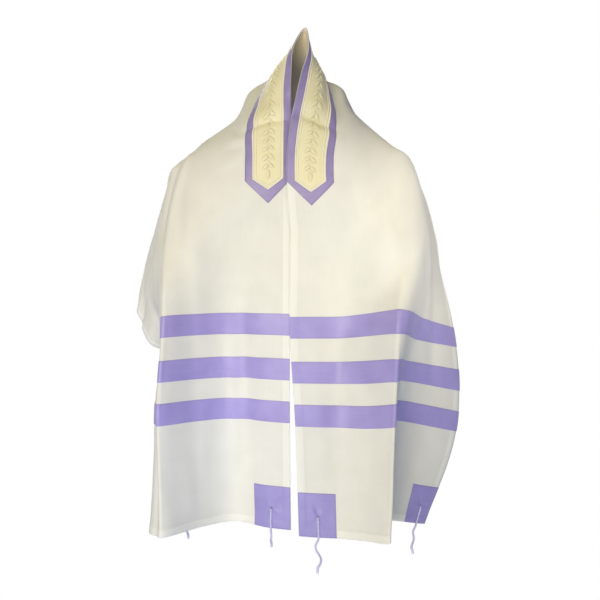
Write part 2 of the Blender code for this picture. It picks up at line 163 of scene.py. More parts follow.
# Creases pressed into or raised out of the cloth: place along and across the
# cloth at both ends, half of the width, and the height, which is below zero in a trough
CREASES = (
    # Left front, beside the neckband and under the shoulder
    (-0.214, 0.100, -0.222, 0.160, 0.007, -0.0030),
    (-0.232, 0.098, -0.246, 0.150, 0.006, 0.0020),
    (-0.250, 0.098, -0.268, 0.145, 0.006, -0.0022),
    (-0.270, 0.098, -0.298, 0.140, 0.006, 0.0018),
    (-0.300, 0.104, -0.318, 0.150, 0.009, -0.0016),
    (-0.255, 0.238, -0.420, 0.266, 0.009, 0.0034),
    (-0.265, 0.262, -0.440, 0.290, 0.011, -0.0040),
    (-0.330, 0.250, -0.520, 0.215, 0.018, -0.0030),
    (-0.380, 0.205, -0.640, 0.190, 0.022, 0.0026),
    (-0.470, 0.060, -0.700, 0.072, 0.020, 0.0016),
    (-0.860, 0.030, -0.905, 0.075, 0.007, 0.0014),
    (-0.880, 0.055, -0.925, 0.098, 0.006, -0.0012),
    (-0.780, 0.160, -1.000, 0.175, 0.024, -0.0022),
    (-0.900, 0.225, -1.030, 0.215, 0.016, 0.0024),
    (-0.590, 0.122, -0.900, 0.118, 0.014, 0.0034),
    (-0.590, 0.094, -0.900, 0.090, 0.016, -0.0038),
    (-0.400, 0.267, -0.620, 0.272, 0.009, 0.0030),
    (-0.600, 0.272, -0.800, 0.285, 0.008, 0.0036),
    (-0.780, 0.285, -1.030, 0.285, 0.008, 0.0040),
    # Left side and behind its ridge
    (-0.640, 0.302, -0.820, 0.308, 0.011, -0.0040),
    (-0.800, 0.306, -1.060, 0.306, 0.012, -0.0090),
    (-0.420, 0.330, -0.560, 0.350, 0.016, 0.0034),
    (-0.500, 0.400, -0.660, 0.385, 0.018, -0.0036),
    (-0.640, 0.440, -0.860, 0.450, 0.022, 0.0040),
    (-0.760, 0.390, -1.000, 0.380, 0.020, -0.0032),
    (-0.380, 0.430, -0.470, 0.480, 0.013, 0.0028),
    (-0.262, 0.238, -0.300, 0.252, 0.016, -0.0040),
    (-0.334, 0.280, -0.352, 0.322, 0.007, 0.0036),
    (-0.364, 0.318, -0.384, 0.354, 0.021, -0.0070),
    (-0.455, 0.450, -0.457, 0.550, 0.008, 0.0026),
    (-0.484, 0.440, -0.488, 0.550, 0.014, -0.0065),
    (-0.554, 0.440, -0.558, 0.550, 0.026, 0.0060),
    # Right front
    (0.300, 0.125, 0.420, 0.150, 0.016, -0.0022),
    (0.360, 0.190, 0.480, 0.215, 0.018, 0.0028),
    (0.470, 0.060, 0.640, 0.075, 0.018, -0.0016),
    (0.640, 0.110, 0.730, 0.080, 0.012, -0.0020),
    (0.760, 0.050, 0.930, 0.060, 0.020, 0.0018),
    (0.880, 0.140, 1.020, 0.130, 0.016, -0.0018),
    (0.520, 0.236, 0.630, 0.221, 0.009, 0.0030),
    (0.600, 0.222, 0.800, 0.2145, 0.008, 0.0048),
    (0.780, 0.2145, 1.030, 0.205, 0.008, 0.0050),
    # Right side
    (0.450, 0.330, 0.560, 0.370, 0.017, 0.0036),
    (0.560, 0.400, 0.740, 0.420, 0.020, -0.0036),
    (0.700, 0.340, 0.900, 0.330, 0.018, 0.0030),
    (0.820, 0.420, 1.000, 0.400, 0.020, -0.0026),
    # Small puckers that the tassels pull at the eyelets
    (-0.989, 0.040, -0.970, 0.024, 0.0040, -0.0020),
    (-0.989, 0.040, -0.980, 0.056, 0.0040, 0.0012),
    (0.989, 0.040, 0.970, 0.034, 0.0040, -0.0018),
    (0.989, 0.040, 0.978, 0.058, 0.0040, 0.0012),
    (0.989, 0.460, 0.972, 0.450, 0.0040, -0.0018),
    (-0.989, 0.460, -0.972, 0.452, 0.0040, -0.0018),
    # Neckband, where the standing hood bends over onto the chest
    (-0.176, -0.010, -0.180, 0.100, 0.013, 0.0024),
    (-0.203, -0.005, -0.200, 0.070, 0.0065, -0.0036),
    (-0.198, 0.060, -0.206, 0.105, 0.0065, -0.0030),
    (-0.160, -0.004, -0.360, -0.004, 0.012, -0.0058),
    (0.160, 0.010, 0.168, 0.104, 0.015, 0.0040),
    (0.187, 0.000, 0.189, 0.050, 0.0080, -0.0046),
    (0.191, 0.030, 0.199, 0.092, 0.0090, -0.0066),
    # Hood and shoulders
    (-0.170, 0.150, -0.205, 0.230, 0.012, -0.0026),
    (-0.130, 0.140, -0.150, 0.200, 0.010, 0.0020),
    (0.165, 0.150, 0.200, 0.225, 0.012, -0.0026),
    (0.125, 0.145, 0.140, 0.195, 0.009, 0.0022),
    (-0.030, 0.100, -0.070, 0.150, 0.009, -0.0018),
    (0.020, 0.110, 0.060, 0.150, 0.008, 0.0016),
    # Back
    (-0.010, 0.170, -0.020, 0.330, 0.014, -0.0028),
    (0.110, 0.200, 0.120, 0.380, 0.016, 0.0030),
    (-0.150, 0.240, -0.160, 0.420, 0.017, -0.0034),
    (0.230, 0.260, 0.240, 0.440, 0.015, -0.0030),
    (-0.290, 0.330, -0.330, 0.480, 0.015, 0.0034),
    (0.320, 0.310, 0.370, 0.470, 0.016, 0.0030),
    (-0.050, 0.380, -0.020, 0.480, 0.012, 0.0020),
)

# Height of a crease at its ends, as a share of its height in the middle
CREASE_ENDS = 0.35

# Slow unevenness of the cloth: waves along and across it in metres, shift, and height.
# It fades in behind the front edge, which stays as the sections have it.
WOBBLES = (
    (0.370, 0.290, 0.3, 0.0011),
    (0.230, 0.410, 1.9, 0.0008),
    (0.530, 0.170, 4.1, 0.0009),
    (0.150, 0.230, 2.7, 0.0004),
)
WOBBLE_START = 0.08

# Where the right front's edge is drawn over the left one: places along the cloth between
# which it comes over and goes back, how far it is drawn, and how wide the drawn part is
OVERLAP_START = (0.42, 0.46)
OVERLAP_END = (0.60, 0.88)
OVERLAP_SHIFT = 0.0038
OVERLAP_WIDTH = 0.05

# Spacing of the table of the worn shape, from which every piece is placed
TABLE_STEP = 0.002


def soft_step(value):
    """Go from 0 to 1 without a corner, and stay there."""
    value = np.clip(value, 0, 1)
    return value * value * (3 - 2 * value)


def hermite(part, span, start, end, start_slope, end_slope):
    """Smooth blend between two values that have slopes."""
    start_weight = 2 * part ** 3 - 3 * part ** 2 + 1
    curve = start_weight * start + (1 - start_weight) * end
    curve = curve + (part ** 3 - 2 * part ** 2 + part) * span * start_slope
    return curve + (part ** 3 - part ** 2) * span * end_slope


def smooth_curve(knots, values, places):
    """Read a smooth curve through the values at the knots, at each place."""
    knots = np.asarray(knots, float)
    values = np.asarray(values, float)
    slopes = np.gradient(values, knots, axis=0)
    first = np.clip(np.searchsorted(knots, places, side="right") - 1, 0, len(knots) - 2)
    span = knots[first + 1] - knots[first]
    part = (places - knots[first]) / span
    shape = (len(places),) + (1,) * (values.ndim - 1)
    return hermite(part.reshape(shape), span.reshape(shape), values[first],
                   values[first + 1], slopes[first], slopes[first + 1])


def run_lengths(points):
    """Length of a path up to each of its points."""
    steps = np.linalg.norm(np.diff(points, axis=0), axis=1)
    return np.concatenate([[0], np.cumsum(steps)])


def grid_normals(points):
    """Normals of a grid of points, pointing away from the figure."""
    normals = np.cross(np.gradient(points, axis=0), np.gradient(points, axis=1))
    return normals / np.linalg.norm(normals, axis=2, keepdims=True)


def fold_heights(along, across):
    """How far the soft folds at the back push the cloth out."""
    heights = np.zeros((len(along), len(across)))
    for middle, half_width, height, start, full in FOLDS:
        swell = np.exp(-((along - middle) / half_width) ** 2)
        ramp = soft_step((across - start) / (full - start))
        heights += height * swell[:, None] * ramp[None, :]
    return heights


def crease_heights(along, across):
    """Creases, slow unevenness and the doubled hem, as heights above the plain cloth."""
    u, v = np.meshgrid(along, across, indexing="ij")
    heights = np.zeros(u.shape)
    for u0, v0, u1, v1, half_width, height in CREASES:
        run = np.array([u1 - u0, v1 - v0])
        part = ((u - u0) * run[0] + (v - v0) * run[1]) / (run @ run)
        part = np.clip(part, 0, 1)
        apart = np.hypot(u - u0 - part * run[0], v - v0 - part * run[1])
        swell = CREASE_ENDS + (1 - CREASE_ENDS) * np.sin(math.pi * part)
        heights += height * swell * np.exp(-(apart / half_width) ** 2)
    slow = np.zeros(u.shape)
    for wave_along, wave_across, shift, height in WOBBLES:
        slow += height * (np.sin(2 * math.pi * u / wave_along + shift)
                          * np.cos(2 * math.pi * v / wave_across - shift))
    heights += slow * soft_step(v / WOBBLE_START)
    edge = np.minimum(np.minimum(v, CLOTH_WIDTH - v), HALF_LENGTH - np.abs(u))
    past = soft_step((edge - HEM_WIDTH + HEM_STEP / 2) / HEM_STEP)
    return heights + HEM_HEIGHT * (1 - past)


def overlap_shift(along, across):
    """How far the right front's edge is drawn over to the left."""
    start, over = OVERLAP_START
    release, end = OVERLAP_END
    drawn = soft_step((along - start) / (over - start))
    drawn = drawn * (1 - soft_step((along - release) / (end - release)))
    near = 1 - soft_step(across / OVERLAP_WIDTH)
    return OVERLAP_SHIFT * drawn[:, None] * near[None, :]


def worn_shape():
    """Table of points and normals of the worn cloth's outer face."""
    along = np.linspace(-HALF_LENGTH, HALF_LENGTH, round(CLOTH_LENGTH / TABLE_STEP) + 1)
    across = np.linspace(0, CLOTH_WIDTH, round(CLOTH_WIDTH / TABLE_STEP) + 1)
    places = [section[0] for section in SECTIONS]
    columns = [section[1:] for section in SECTIONS]
    rows = smooth_curve(places, columns, along)
    points = np.array([smooth_curve(row[:, 0], row[:, 1:], across) for row in rows])
    points[:, :, 0] -= overlap_shift(along, across)
    points = points + grid_normals(points) * fold_heights(along, across)[:, :, None]
    points = points + grid_normals(points) * crease_heights(along, across)[:, :, None]
    return points, grid_normals(points)


TABLE_POINTS, TABLE_NORMALS = worn_shape()


def place(coordinates):
    """World points of places given along and across the cloth and above it."""
    coordinates = np.asarray(coordinates, float)
    row = (coordinates[:, 0] + HALF_LENGTH) / TABLE_STEP
    column = coordinates[:, 1] / TABLE_STEP
    first_row = np.clip(np.floor(row).astype(int), 0, TABLE_POINTS.shape[0] - 2)
    first_column = np.clip(np.floor(column).astype(int), 0, TABLE_POINTS.shape[1] - 2)
    down = (row - first_row)[:, None]
    over = (column - first_column)[:, None]
    found = []
    for table in (TABLE_POINTS, TABLE_NORMALS):
        near = (table[first_row, first_column] * (1 - over)
                + table[first_row, first_column + 1] * over)
        far = (table[first_row + 1, first_column] * (1 - over)
               + table[first_row + 1, first_column + 1] * over)
        found.append(near * (1 - down) + far * down)
    points, normals = found
    normals /= np.linalg.norm(normals, axis=1, keepdims=True)
    return points + normals * coordinates[:, 2:3]


# Materials

# Colours of the cloth's two sides: dark and light, slubs, picks, and doubled hems
TWILLS = {
    "white_twill": ((0.690, 0.685, 0.635), (0.740, 0.735, 0.690), (0.61, 0.60, 0.53),
                    (0.78, 0.775, 0.74), (0.83, 0.825, 0.77)),
    "twill_reverse": ((0.655, 0.635, 0.570), (0.705, 0.685, 0.620), (0.58, 0.56, 0.49),
                      (0.75, 0.735, 0.68), (0.78, 0.765, 0.70)),
}

# Satins: dark and light, streaks, and roughness
SATINS = {
    "purple_satin": ((0.295, 0.248, 0.560), (0.360, 0.310, 0.640),
                     (0.41, 0.365, 0.70), 0.42),
    "patch_satin": ((0.268, 0.228, 0.530), (0.328, 0.286, 0.610),
                    (0.375, 0.338, 0.67), 0.42),
    "neckband_satin": ((0.225, 0.175, 0.375), (0.300, 0.245, 0.475),
                       (0.36, 0.31, 0.54), 0.40),
    "cream_satin": ((0.72, 0.660, 0.40), (0.77, 0.710, 0.45), (0.80, 0.75, 0.54), 0.50),
    "ivory_piping": ((0.78, 0.73, 0.58), (0.82, 0.78, 0.64), (0.85, 0.82, 0.70), 0.55),
}

# Threads: dark and light, and roughness
THREADS = {
    "cream_floss": ((0.72, 0.66, 0.41), (0.78, 0.73, 0.49), 0.48),
    "white_thread": ((0.74, 0.73, 0.65), (0.79, 0.78, 0.71), 0.75),
    "purple_thread": ((0.29, 0.24, 0.50), (0.34, 0.29, 0.56), 0.55),
    # Painted shade in the eyelets' holes
    "eyelet_shade": ((0.075, 0.060, 0.120), (0.095, 0.075, 0.150), 0.8),
    "tassel_wool": ((0.56, 0.56, 0.80), (0.68, 0.68, 0.92), 0.85),
}

# Wear and painted shading round the neck: material, where it starts and is full along the
# cloth and across it, how much it covers, and its colour. On the outer side it is yellowing
# from wear and also painted shade on the humps beside the hood; on the inside it is painted
# shade in the hood and, at the tip, painted light.
NECK_WEAR_AND_PAINTED_SHADING = (
    # Outer side: yellowing from wear, and painted shade that darkens the humps beside the
    # hood
    ("white_twill", (0.26, 0.14), (0.30, 0.12), 0.45, (0.60, 0.59, 0.42)),
    # Inside round the neck: painted shade, darker within the hood
    ("twill_reverse", (0.26, 0.14), (0.30, 0.12), 0.75, (0.36, 0.32, 0.27)),
    # Inside at the hood's tip: painted light, lighter and warmer at the top
    ("twill_reverse", (0.12, 0.04), (0.10, 0.03), 0.80, (0.78, 0.66, 0.44)),
)

# Spacing of twill lines, of threads in the twill and the satin, and of fibres
TWILL_PITCH = 0.0011
WARP_PITCH = 0.0006
SATIN_PITCH = 0.0007
FIBRE_PITCH = 0.0009

# How far a hem's paler colour blurs and how much of it there is, the shine of plain
# cloth, and how far the roughness strays
HEM_BLUR = 0.0006
HEM_PALE = 0.55
PLAIN_SHINE = 0.3
ROUGHNESS_SPREAD = 0.05


def node(tree, kind, inputs=(), **settings):
    """Add a shader node, set its options, and link or set its inputs."""
    made = tree.nodes.new(kind)
    for name, value in settings.items():
        setattr(made, name, value)
    for name, value in dict(inputs).items():
        if isinstance(value, bpy.types.NodeSocket):
            tree.links.new(value, made.inputs[name])
        else:
            made.inputs[name].default_value = value
    return made


def flat_map(tree):
    """The cloth's own coordinates in metres."""
    return node(tree, "ShaderNodeTexCoord").outputs["UV"]


def stretched(tree, along, across):
    """The cloth's own coordinates, scaled differently along and across it."""
    return node(tree, "ShaderNodeMapping", {
        "Vector": flat_map(tree), "Scale": (along, across, 1)}).outputs["Vector"]


def noise(tree, along, across, detail=2.0):
    """Noise whose grain differs along and across the cloth."""
    return node(tree, "ShaderNodeTexNoise", {
        "Vector": stretched(tree, along, across),
        "Scale": 1.0, "Detail": detail}).outputs["Fac"]


def ridges(tree, direction, pitch):
    """Even ridges along one way of the cloth, a thread's pitch apart."""
    return node(tree, "ShaderNodeTexWave", {
        "Vector": stretched(tree, 1, 1),
        "Scale": math.pi / 10 / pitch,
        "Distortion": 0.0}, bands_direction=direction).outputs["Fac"]


def calculate(tree, operation, first, second=0):
    """One sum, product or the like of two values, or the size of one."""
    return node(tree, "ShaderNodeMath", {0: first, 1: second},
                operation=operation).outputs[0]


def between(tree, value, low, high):
    """Turn a value from 0 to 1 into one between two limits."""
    return node(tree, "ShaderNodeMapRange", {
        "Value": value, "From Min": 0.25, "From Max": 0.75,
        "To Min": low, "To Max": high}).outputs["Result"]


def soft_range(tree, value, low, high):
    """Go from 0 to 1 between two values without a corner."""
    return node(tree, "ShaderNodeMapRange", {
        "Value": value, "From Min": low, "From Max": high},
        interpolation_type="SMOOTHSTEP").outputs["Result"]


def mixed(tree, factor, first, second):
    """Blend two colours."""
    first, second = (colour if isinstance(colour, bpy.types.NodeSocket) else (*colour, 1)
                     for colour in (first, second))
    return node(tree, "ShaderNodeMix", {0: factor, 6: first, 7: second},
                data_type="RGBA").outputs[2]


def fabric(name, dark, light, roughness, sheen, shine=0.0):
    """Start a woven material, and give back its tree and its shader."""
    made = bpy.data.materials.new(name)
    made.use_nodes = True
    tree = made.node_tree
    shader = tree.nodes["Principled BSDF"]
    shader.inputs["Sheen Weight"].default_value = sheen
    shader.inputs["Sheen Roughness"].default_value = 0.5
    shader.inputs["Specular IOR Level"].default_value = PLAIN_SHINE + shine
    blotches = noise(tree, along=24, across=24, detail=3.0)
    shade = between(tree, blotches, 0.0, 1.0)
    tree.links.new(mixed(tree, shade, dark, light), shader.inputs["Base Color"])
    grain = noise(tree, along=300, across=300)
    uneven = between(tree, grain, roughness - ROUGHNESS_SPREAD,
                     roughness + ROUGHNESS_SPREAD)
    tree.links.new(uneven, shader.inputs["Roughness"])
    return made, tree, shader


def recolour(tree, shader, factor, colour):
    """Blend a further colour over the one that the shader already has."""
    before = shader.inputs["Base Color"].links[0].from_socket
    tree.links.new(mixed(tree, factor, before, colour), shader.inputs["Base Color"])


def bump(tree, shader, heights, distance, strength):
    """Give the shader a relief."""
    made = node(tree, "ShaderNodeBump", {
        "Height": heights, "Distance": distance, "Strength": strength})
    tree.links.new(made.outputs["Normal"], shader.inputs["Normal"])


def flat_place(tree):
    """How far a place is from the centre back, and how far from the front edge."""
    parts = node(tree, "ShaderNodeSeparateXYZ", {"Vector": flat_map(tree)}).outputs
    return calculate(tree, "ABSOLUTE", parts["X"]), parts["Y"]


def hem_share(tree):
    """1 on the doubled hems and 0 on the single cloth."""
    along, across = flat_place(tree)
    from_end = calculate(tree, "SUBTRACT", HALF_LENGTH, along)
    from_side = calculate(tree, "MINIMUM", across,
                          calculate(tree, "SUBTRACT", CLOTH_WIDTH, across))
    return node(tree, "ShaderNodeMapRange", {
        "Value": calculate(tree, "MINIMUM", from_end, from_side),
        "From Min": HEM_WIDTH + HEM_BLUR,
        "From Max": HEM_WIDTH - HEM_BLUR}).outputs["Result"]


def twill_material(name, dark, light, slub, pick, doubled):
    """Fine twill with thicker threads both ways, and paler where the hem doubles it."""
    made, tree, shader = fabric(name, dark, light, roughness=0.88, sheen=0.03)
    slubs = between(tree, noise(tree, along=9, across=420), 0.0, 0.18)
    recolour(tree, shader, slubs, slub)
    picks = between(tree, noise(tree, along=520, across=7), 0.0, 0.14)
    recolour(tree, shader, picks, pick)
    hem = calculate(tree, "MULTIPLY", hem_share(tree), HEM_PALE)
    recolour(tree, shader, hem, doubled)
    lines = ridges(tree, "DIAGONAL", TWILL_PITCH)
    threads = ridges(tree, "X", WARP_PITCH)
    weave = calculate(tree, "ADD", calculate(tree, "MULTIPLY", lines, 0.7),
                      calculate(tree, "MULTIPLY", threads, 0.3))
    fuzz = noise(tree, along=160, across=160, detail=4.0)
    weave = calculate(tree, "ADD", weave, fuzz)
    bump(tree, shader, weave, distance=0.00025, strength=0.35)
    return made


def paint_neck_wear_and_shading(material, length, depth, share, colour):
    """Recolour the cloth round the neck with wear and with painted shade and light, fading
    out along it and down from its edge.
    """
    tree = material.node_tree
    along, across = flat_place(tree)
    near = calculate(tree, "MULTIPLY", soft_range(tree, along, *length),
                     soft_range(tree, across, *depth))
    recolour(tree, tree.nodes["Principled BSDF"],
             calculate(tree, "MULTIPLY", near, share), colour)


def satin_material(name, dark, light, streak, roughness):
    """Satin with fine streaks along its length and a soft sheen."""
    made, tree, shader = fabric(name, dark, light, roughness, sheen=0.15, shine=0.15)
    streaks = between(tree, noise(tree, along=700, across=11), 0.0, 0.35)
    recolour(tree, shader, streaks, streak)
    threads = ridges(tree, "X", SATIN_PITCH)
    fine = calculate(tree, "ADD", calculate(tree, "MULTIPLY", threads, 0.5),
                     noise(tree, along=900, across=30, detail=3.0))
    bump(tree, shader, fine, distance=0.00018, strength=0.35)
    return made


def thread_material(name, dark, light, roughness):
    """Twisted thread or stitching with a fibrous surface."""
    made, tree, shader = fabric(name, dark, light, roughness, sheen=0.08)
    twist = calculate(tree, "MULTIPLY", ridges(tree, "DIAGONAL", FIBRE_PITCH), 0.6)
    fibres = calculate(tree, "ADD", noise(tree, along=1500, across=1500, detail=3.0),
                       twist)
    bump(tree, shader, fibres, distance=0.0002, strength=0.5)
    return made


def make_materials():
    """Every material of the shawl, by its name."""
    made = {name: twill_material(name, *look) for name, look in TWILLS.items()}
    made |= {name: satin_material(name, *look) for name, look in SATINS.items()}
    made |= {name: thread_material(name, *look) for name, look in THREADS.items()}
    for name, *wear_and_shading in NECK_WEAR_AND_PAINTED_SHADING:
        paint_neck_wear_and_shading(made[name], *wear_and_shading)
    return made


# Making of pieces

EDGE_BULGE = 0.0003


def add_object(name, data):
    """Put an object into the scene."""
    made = bpy.data.objects.new(name, data)
    bpy.context.scene.collection.objects.link(made)
    return made


def add_piece(name, coordinates, faces, finish, slot_name, replaced=()):
    """One piece sewn on the cloth, from places on it, whose flat map is those places."""
    coordinates = np.asarray(coordinates, float)
    return add_mesh(name, place(coordinates), coordinates[:, :2], faces, finish,
                    replaced)


def add_mesh(name, points, flat, faces, finish, replaced=()):
    """One named piece that rides on the shawl, with a flat map in metres."""
    mesh = bpy.data.meshes.new(name)
    mesh.from_pydata(np.asarray(points).tolist(), [], faces)
    mesh.update()
    corners = np.zeros(len(mesh.loops), dtype=np.int32)
    mesh.loops.foreach_get("vertex_index", corners)
    layer = mesh.uv_layers.new(name="flat")
    layer.data.foreach_set("uv", np.asarray(flat, np.float32)[corners].ravel())
    mesh.shade_smooth()
    mesh.materials.append(finish)
    made = add_object(name, mesh)
    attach(made, "root")
    if replaced:
        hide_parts(*replaced)
    return made


def sheet_coordinates(u, v, low, high, bulge):
    """A closed sheet over a grid of places, with a rounded edge."""
    rows, columns = u.shape
    top, bottom = (np.stack([u, v, np.broadcast_to(face, u.shape)], axis=-1).reshape(-1, 3)
                   for face in (high, low))
    count = rows * columns
    index = np.arange(count).reshape(rows, columns)
    cells = np.stack([index[:-1, :-1], index[1:, :-1], index[1:, 1:], index[:-1, 1:]],
                     axis=-1).reshape(-1, 4)
    faces = cells.tolist() + (cells[:, ::-1] + count).tolist()
    around = np.concatenate([index[0, :-1], index[:-1, -1], index[-1, :0:-1],
                             index[:0:-1, 0]])
    inner = np.concatenate([index[1, :-1], index[:-1, -2], index[-2, :0:-1],
                            index[:0:-1, 1]])
    inner[0] = index[1, 1]
    inner[columns - 1] = index[1, -2]
    inner[columns + rows - 2] = index[-2, -2]
    inner[2 * columns + rows - 3] = index[-2, 1]
    out = top[around, :2] - top[inner, :2]
    out /= np.linalg.norm(out, axis=1, keepdims=True)
    edge = np.concatenate([top[around, :2] + out * bulge,
                           (top[around, 2:] + bottom[around, 2:]) / 2], axis=1)
    ring = 2 * count + np.arange(len(around))
    following = np.roll(np.arange(len(around)), -1)
    for start, end in ((around, ring), (ring, around + count)):
        faces += np.stack([start, start[following], end[following], end],
                          axis=1).tolist()
    return np.concatenate([top, bottom, edge]), faces


def add_sheet(name, u, v, low, high, finish, slot_name, replaced, bulge=EDGE_BULGE):
    """One closed sheet sewn on the cloth, in place of one solid."""
    coordinates, faces = sheet_coordinates(u, v, low, high, bulge)
    return add_piece(name, coordinates, faces, finish, slot_name, [replaced])


def tube_faces(rings, sides, closed=False):
    """Faces of a tube of rings of points, with flat ends unless it is closed."""
    ring = np.arange(rings if closed else rings - 1)[:, None] * sides
    beyond = (ring + sides) % (rings * sides)
    corner = np.arange(sides)[None, :]
    after = (corner + 1) % sides
    faces = np.stack([ring + corner, ring + after, beyond + after, beyond + corner],
                     axis=-1).reshape(-1, 4).tolist()
    if not closed:
        faces.append(list(range(sides))[::-1])
        faces.append(list(range((rings - 1) * sides, rings * sides)))
    return faces


def strip_coordinates(path, half_widths, heights, base, closed, sides):
    """Coordinates of a raised line along a path of places."""
    path = np.asarray(path, float)
    if closed:
        ways = np.roll(path, -1, axis=0) - np.roll(path, 1, axis=0)
    else:
        ways = np.gradient(path, axis=0)
    ways /= np.linalg.norm(ways, axis=1, keepdims=True)
    aside = np.stack([-ways[:, 1], ways[:, 0]], axis=1)
    half_widths = np.broadcast_to(half_widths, len(path))
    heights = np.broadcast_to(heights, len(path))
    angles = np.arange(sides) * 2 * math.pi / sides
    offset = np.cos(angles)[None, :, None] * half_widths[:, None, None]
    places = path[:, None, :] + aside[:, None, :] * offset
    rise = base + heights[:, None] * (0.5 + 0.5 * np.sin(angles))[None, :]
    return np.concatenate([places, rise[:, :, None]], axis=2).reshape(-1, 3)


class Batch:
    """Many small closed forms that end up in one piece."""

    def __init__(self):
        self.coordinates = []
        self.faces = []
        self.count = 0

    def add(self, coordinates, faces):
        """Put one form in."""
        self.faces += [[corner + self.count for corner in face] for face in faces]
        self.coordinates.append(coordinates)
        self.count += len(coordinates)

    def add_strip(self, path, half_widths, heights, base, closed=False, sides=6):
        """Put a raised line along a path of places in."""
        self.add(strip_coordinates(path, half_widths, heights, base, closed, sides),
                 tube_faces(len(path), sides, closed))

    def all(self):
        """Coordinates and faces of everything that was put in."""
        return np.concatenate(self.coordinates), self.faces


# The cloth: spacing of its lines, bulge of its rounded edge, distance between the close
# lines at a hem's step, and the share of the spacing that even lines stay clear of them
CLOTH_STEP = 0.0058
CLOTH_BULGE = 0.0005
HEM_LINE_GAP = 0.0012
HEM_LINE_CLEAR = 0.35


def cloth_lines(length):
    """Even lines from 0 to a length, with closer ones where the hems step down."""
    lines = np.linspace(0, length, round(length / CLOTH_STEP) + 1)
    close = [edge + gap for edge in (HEM_WIDTH, length - HEM_WIDTH)
             for gap in (-HEM_LINE_GAP, 0, HEM_LINE_GAP)]
    kept = [line for line in lines
            if all(abs(line - extra) > CLOTH_STEP * HEM_LINE_CLEAR for extra in close)
            or line in (0, length)]
    return np.array(sorted(kept + close))


def make_cloth(finish, reverse):
    """The one woven cloth, with its narrow doubled hems."""
    along = cloth_lines(CLOTH_LENGTH) - HALF_LENGTH
    across = cloth_lines(CLOTH_WIDTH)
    u, v = np.meshgrid(along, across, indexing="ij")
    made = add_sheet("cloth", u, v, -CLOTH_WALL, 0, finish, "cloth", "shawl_cloth",
                     CLOTH_BULGE)
    made.data.materials.append(reverse)
    cells = (len(along) - 1) * (len(across) - 1)
    sides = np.zeros(len(made.data.polygons), dtype=np.int32)
    sides[cells:2 * cells] = 1
    made.data.polygons.foreach_set("material_index", sides)
    return made


# Ribbons and corner patches

RIBBON_LIFT = 0.0003
RIBBON_WALL = 0.0006
RIBBON_TOP = RIBBON_LIFT + RIBBON_WALL
RIBBON_CROWN = 0.0003

# Lines along a ribbon, as shares of its width, closer at its edges
RIBBON_LINES = (0, 0.03, 0.08, 0.16, 0.28, 0.42, 0.58, 0.72, 0.84, 0.92, 0.97, 1)
RIBBON_ROWS = 171

# Puckers between a ribbon's stitches: height, reach as a share of the ribbon's width,
# spacing, how far and how slowly the spacing strays, and the shift to the next ribbon
PUCKER_HEIGHT = 0.00012
PUCKER_REACH = 0.12
PUCKER_SPACING = 0.0125
PUCKER_STRAY = 0.4
PUCKER_DRIFT = 0.031
PUCKER_SHIFT = 1.7


def crown(share):
    """Height of a ribbon that is held down along both of its edges."""
    return RIBBON_CROWN * np.sin(math.pi * share) ** 0.5


def make_ribbon(name, start, end, finish, replaced, phase):
    """One ribbon right across the cloth, a little crowned between its stitches."""
    share = np.array(RIBBON_LINES)
    across = np.linspace(0, CLOTH_WIDTH, RIBBON_ROWS)
    u, v = np.meshgrid(start + (end - start) * share, across, indexing="ij")
    share = np.broadcast_to(share[:, None], u.shape)
    near_edge = np.exp(-(np.minimum(share, 1 - share) / PUCKER_REACH) ** 2)
    turns = 2 * math.pi * (v / PUCKER_SPACING + PUCKER_STRAY * np.sin(v / PUCKER_DRIFT))
    puckers = PUCKER_HEIGHT * near_edge * np.sin(turns + phase)
    return add_sheet(name, u, v, RIBBON_LIFT, RIBBON_TOP + (crown(share) + puckers),
                     finish, "ribbon", replaced)


def make_ribbons(finish):
    """Three ribbons across each end of the cloth."""
    made = []
    for side_name, side in (("left", -1), ("right", 1)):
        for number, bottom in enumerate(STRIPE_BOTTOMS, start=1):
            low = side * (HALF_LENGTH - bottom)
            top = side * (HALF_LENGTH - bottom - STRIPE_WIDTH)
            made.append(make_ribbon(f"ribbon_{side_name}_{number}", *sorted((low, top)),
                                    finish, f"stripe_{side_name}_{number}",
                                    number * PUCKER_SHIFT + side))
    return made


# Corners: name, side of the cloth, and whether it is at the outer edge
CORNERS = (
    ("left_front", -1, False),
    ("left_back", -1, True),
    ("right_front", 1, False),
    ("right_side", 1, True),
)


def eyelet_place(side, outer):
    """Where a corner's eyelet is on the cloth."""
    across = CLOTH_WIDTH - EYELET_INSET if outer else EYELET_INSET
    return side * (HALF_LENGTH - EYELET_INSET), across


# Patches: distance inside the cloth's edge, height of the crown, width over which it
# rises from the patch's edge, and number of lines both ways
PATCH_GAP = 0.0002
PATCH_CROWN = 0.0004
PATCH_CROWN_RUN = 0.006
PATCH_GRID = (45, 41)

# Puckers round an eyelet: height, how far they reach, where they are full, how far they
# are raised and their number, the number, share and turn of the broader ones, and the
# height and reach of the dent in their middle
RAY_HEIGHT = 0.0005
RAY_REACH = 0.020
RAY_FULL = 0.006
RAY_RAISE = 0.6
RAYS = 5
BROAD_RAYS = 3
BROAD_SHARE = 0.7
BROAD_TURN = 1.3
DENT_HEIGHT = 0.0005
DENT_REACH = 0.005


